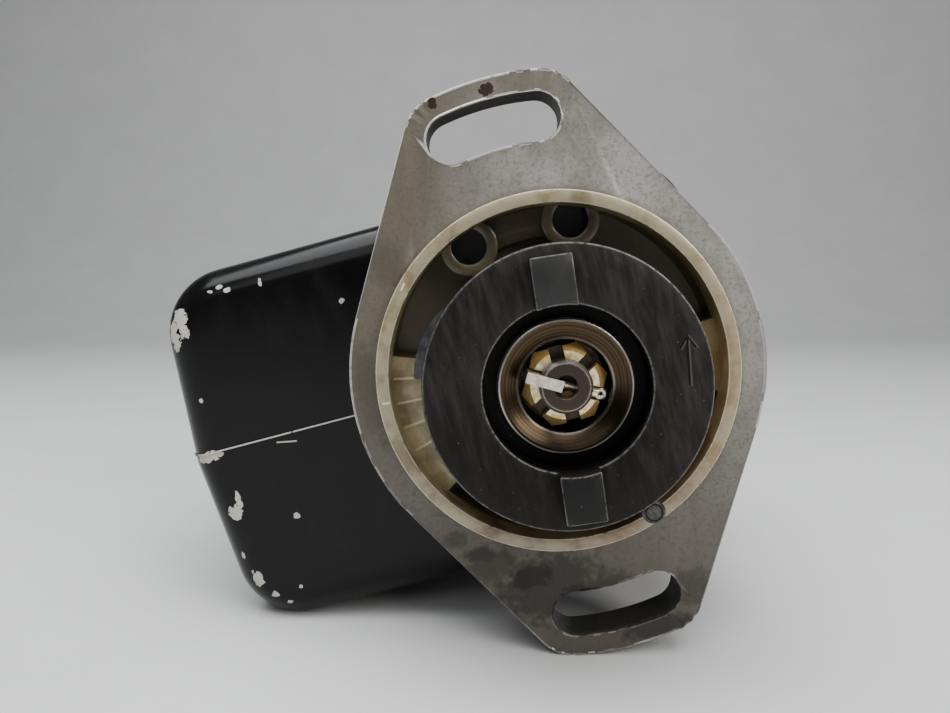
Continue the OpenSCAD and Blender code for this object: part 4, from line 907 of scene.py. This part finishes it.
cotterTone = dict(name="cotterSteel", light=(0.80, 0.74, 0.62), dark=(0.55, 0.49, 0.39), metallic=0.9,
                  roughness=(0.2, 0.38), size=1.2)
washerTone = dict(name="oiledSteel", light=(0.075, 0.055, 0.035), dark=(0.03, 0.021, 0.013), metallic=0.85,
                  roughness=(0.25, 0.4), size=1.5)

slotFinish = {slot: twoTone(**tone) for slot, tone in plainTones.items()}
slotFinish["black_paint"] = paintFinish("coverPaint", [], False)
slotFinish["gold_plate"] = nutFinish()
nodeFinish = {"stop_pin": pinFinish(), "rotor_shaft": shaftFinish(),
              "cotter_pin": twoTone(**cotterTone), "nut_washer": twoTone(**washerTone)}
for part in frame["record"]["subparts"]:
    finish = nodeFinish.get(part["node"]) or slotFinish.get(part["material_slot"])
    if finish and not nodes[part["node"]].hide_render:
        nodes[part["node"]].data.materials.clear()
        nodes[part["node"]].data.materials.append(finish)
print("finishes set")


# floor, light and camera, m
stage = dict(floor=cadBox[0].z, back=1.3, reach=3.0, rise=2.2, sweep=0.5, sweepSteps=16,
             sky=(0.80, 0.82, 0.85, 1), skyStrength=0.14)
floorTone = dict(name="paleFloor", light=(0.62, 0.62, 0.615), dark=(0.5952, 0.5952, 0.5904), metallic=0.0,
                 roughness=(0.55, 0.7), size=60.0, relief=0.0)
softboxes = {
    "topSoftbox": dict(at=(-0.1, -0.12, 0.75), aim=(-0.05, 0, 0), size=(1.0, 0.8), power=16, colour=(0.96, 0.98, 1.0)),
    "rightSoftbox": dict(at=(0.7, -0.75, 0.6), aim=(0, 0, 0), size=(0.5, 0.6), power=9, colour=(1.0, 0.98, 0.95)),
    "leftSoftbox": dict(at=(-0.3, -1.1, 0.8), aim=(0, 0, 0), size=(0.9, 0.6), power=3, colour=(1, 1, 1)),
}
# the eye and its axes are in the same local mm as the pieces
eye = dict(at=(-8.75, 26.03, 175.13), right=(0.96577, -0.25886, -0.01665), up=(0.25560, 0.96063, -0.10887),
           lens=30.3, sensor=36, clip=(0.005, 20))


def layFloor():
    # flat floor that sweeps up into a backdrop
    s = stage
    turns = [math.pi / 2 * i / s["sweepSteps"] for i in range(s["sweepSteps"] + 1)]
    sweep = [(s["back"] - s["sweep"] + s["sweep"] * math.sin(t), s["floor"] + s["sweep"] * (1 - math.cos(t)))
             for t in turns]
    profile = [(-s["reach"], s["floor"])] + sweep + [(s["back"], s["floor"] + s["rise"])]
    bm = bmesh.new()
    verts = [bm.verts.new((-s["reach"], y, z)) for y, z in profile]
    edges = [bm.edges.new(pair) for pair in zip(verts, verts[1:])]
    drawn = bmesh.ops.extrude_edge_only(bm, edges=edges)["geom"]
    bmesh.ops.translate(bm, verts=vertsOf(drawn), vec=(2 * s["reach"], 0, 0))
    bmesh.ops.recalc_face_normals(bm, faces=bm.faces)
    mesh = bpy.data.meshes.new("floor")
    bm.to_mesh(mesh)
    bm.free()
    mesh.shade_smooth()
    mesh.materials.append(twoTone(**floorTone))
    floor = bpy.data.objects.new("floor", mesh)
    bpy.context.scene.collection.objects.link(floor)


def hangLight(name, at, aim, size, power, colour):
    lamp = bpy.data.lights.new(name, "AREA")
    lamp.shape = "RECTANGLE"
    lamp.size, lamp.size_y = size
    lamp.energy = power
    lamp.color = colour
    light = bpy.data.objects.new(name, lamp)
    light.location = at
    light.rotation_euler = (Vector(aim) - Vector(at)).to_track_quat("-Z", "Y").to_euler()
    bpy.context.scene.collection.objects.link(light)


def setSky():
    world = bpy.data.worlds.new("studio")
    world.use_nodes = True
    sky = world.node_tree.nodes["Background"]
    sky.inputs["Color"].default_value = stage["sky"]
    sky.inputs["Strength"].default_value = stage["skyStrength"]
    bpy.context.scene.world = world


def setCamera():
    turn = layDown.to_quaternion().to_matrix()
    right, up = turn @ Vector(eye["right"]), turn @ Vector(eye["up"])
    lens = bpy.data.cameras.new("camera")
    lens.lens, lens.sensor_width = eye["lens"], eye["sensor"]
    lens.clip_start, lens.clip_end = eye["clip"]
    camera = bpy.data.objects.new("camera", lens)
    axes = Matrix((right, up, right.cross(up))).transposed().to_4x4()
    camera.matrix_world = Matrix.Translation(layDown @ Vector(eye["at"])) @ axes
    bpy.context.scene.collection.objects.link(camera)
    bpy.context.scene.camera = camera


layFloor()
for name, softbox in softboxes.items():
    hangLight(name, **softbox)
setSky()
setCamera()
print("stage set")

bpy.context.view_layer.update()
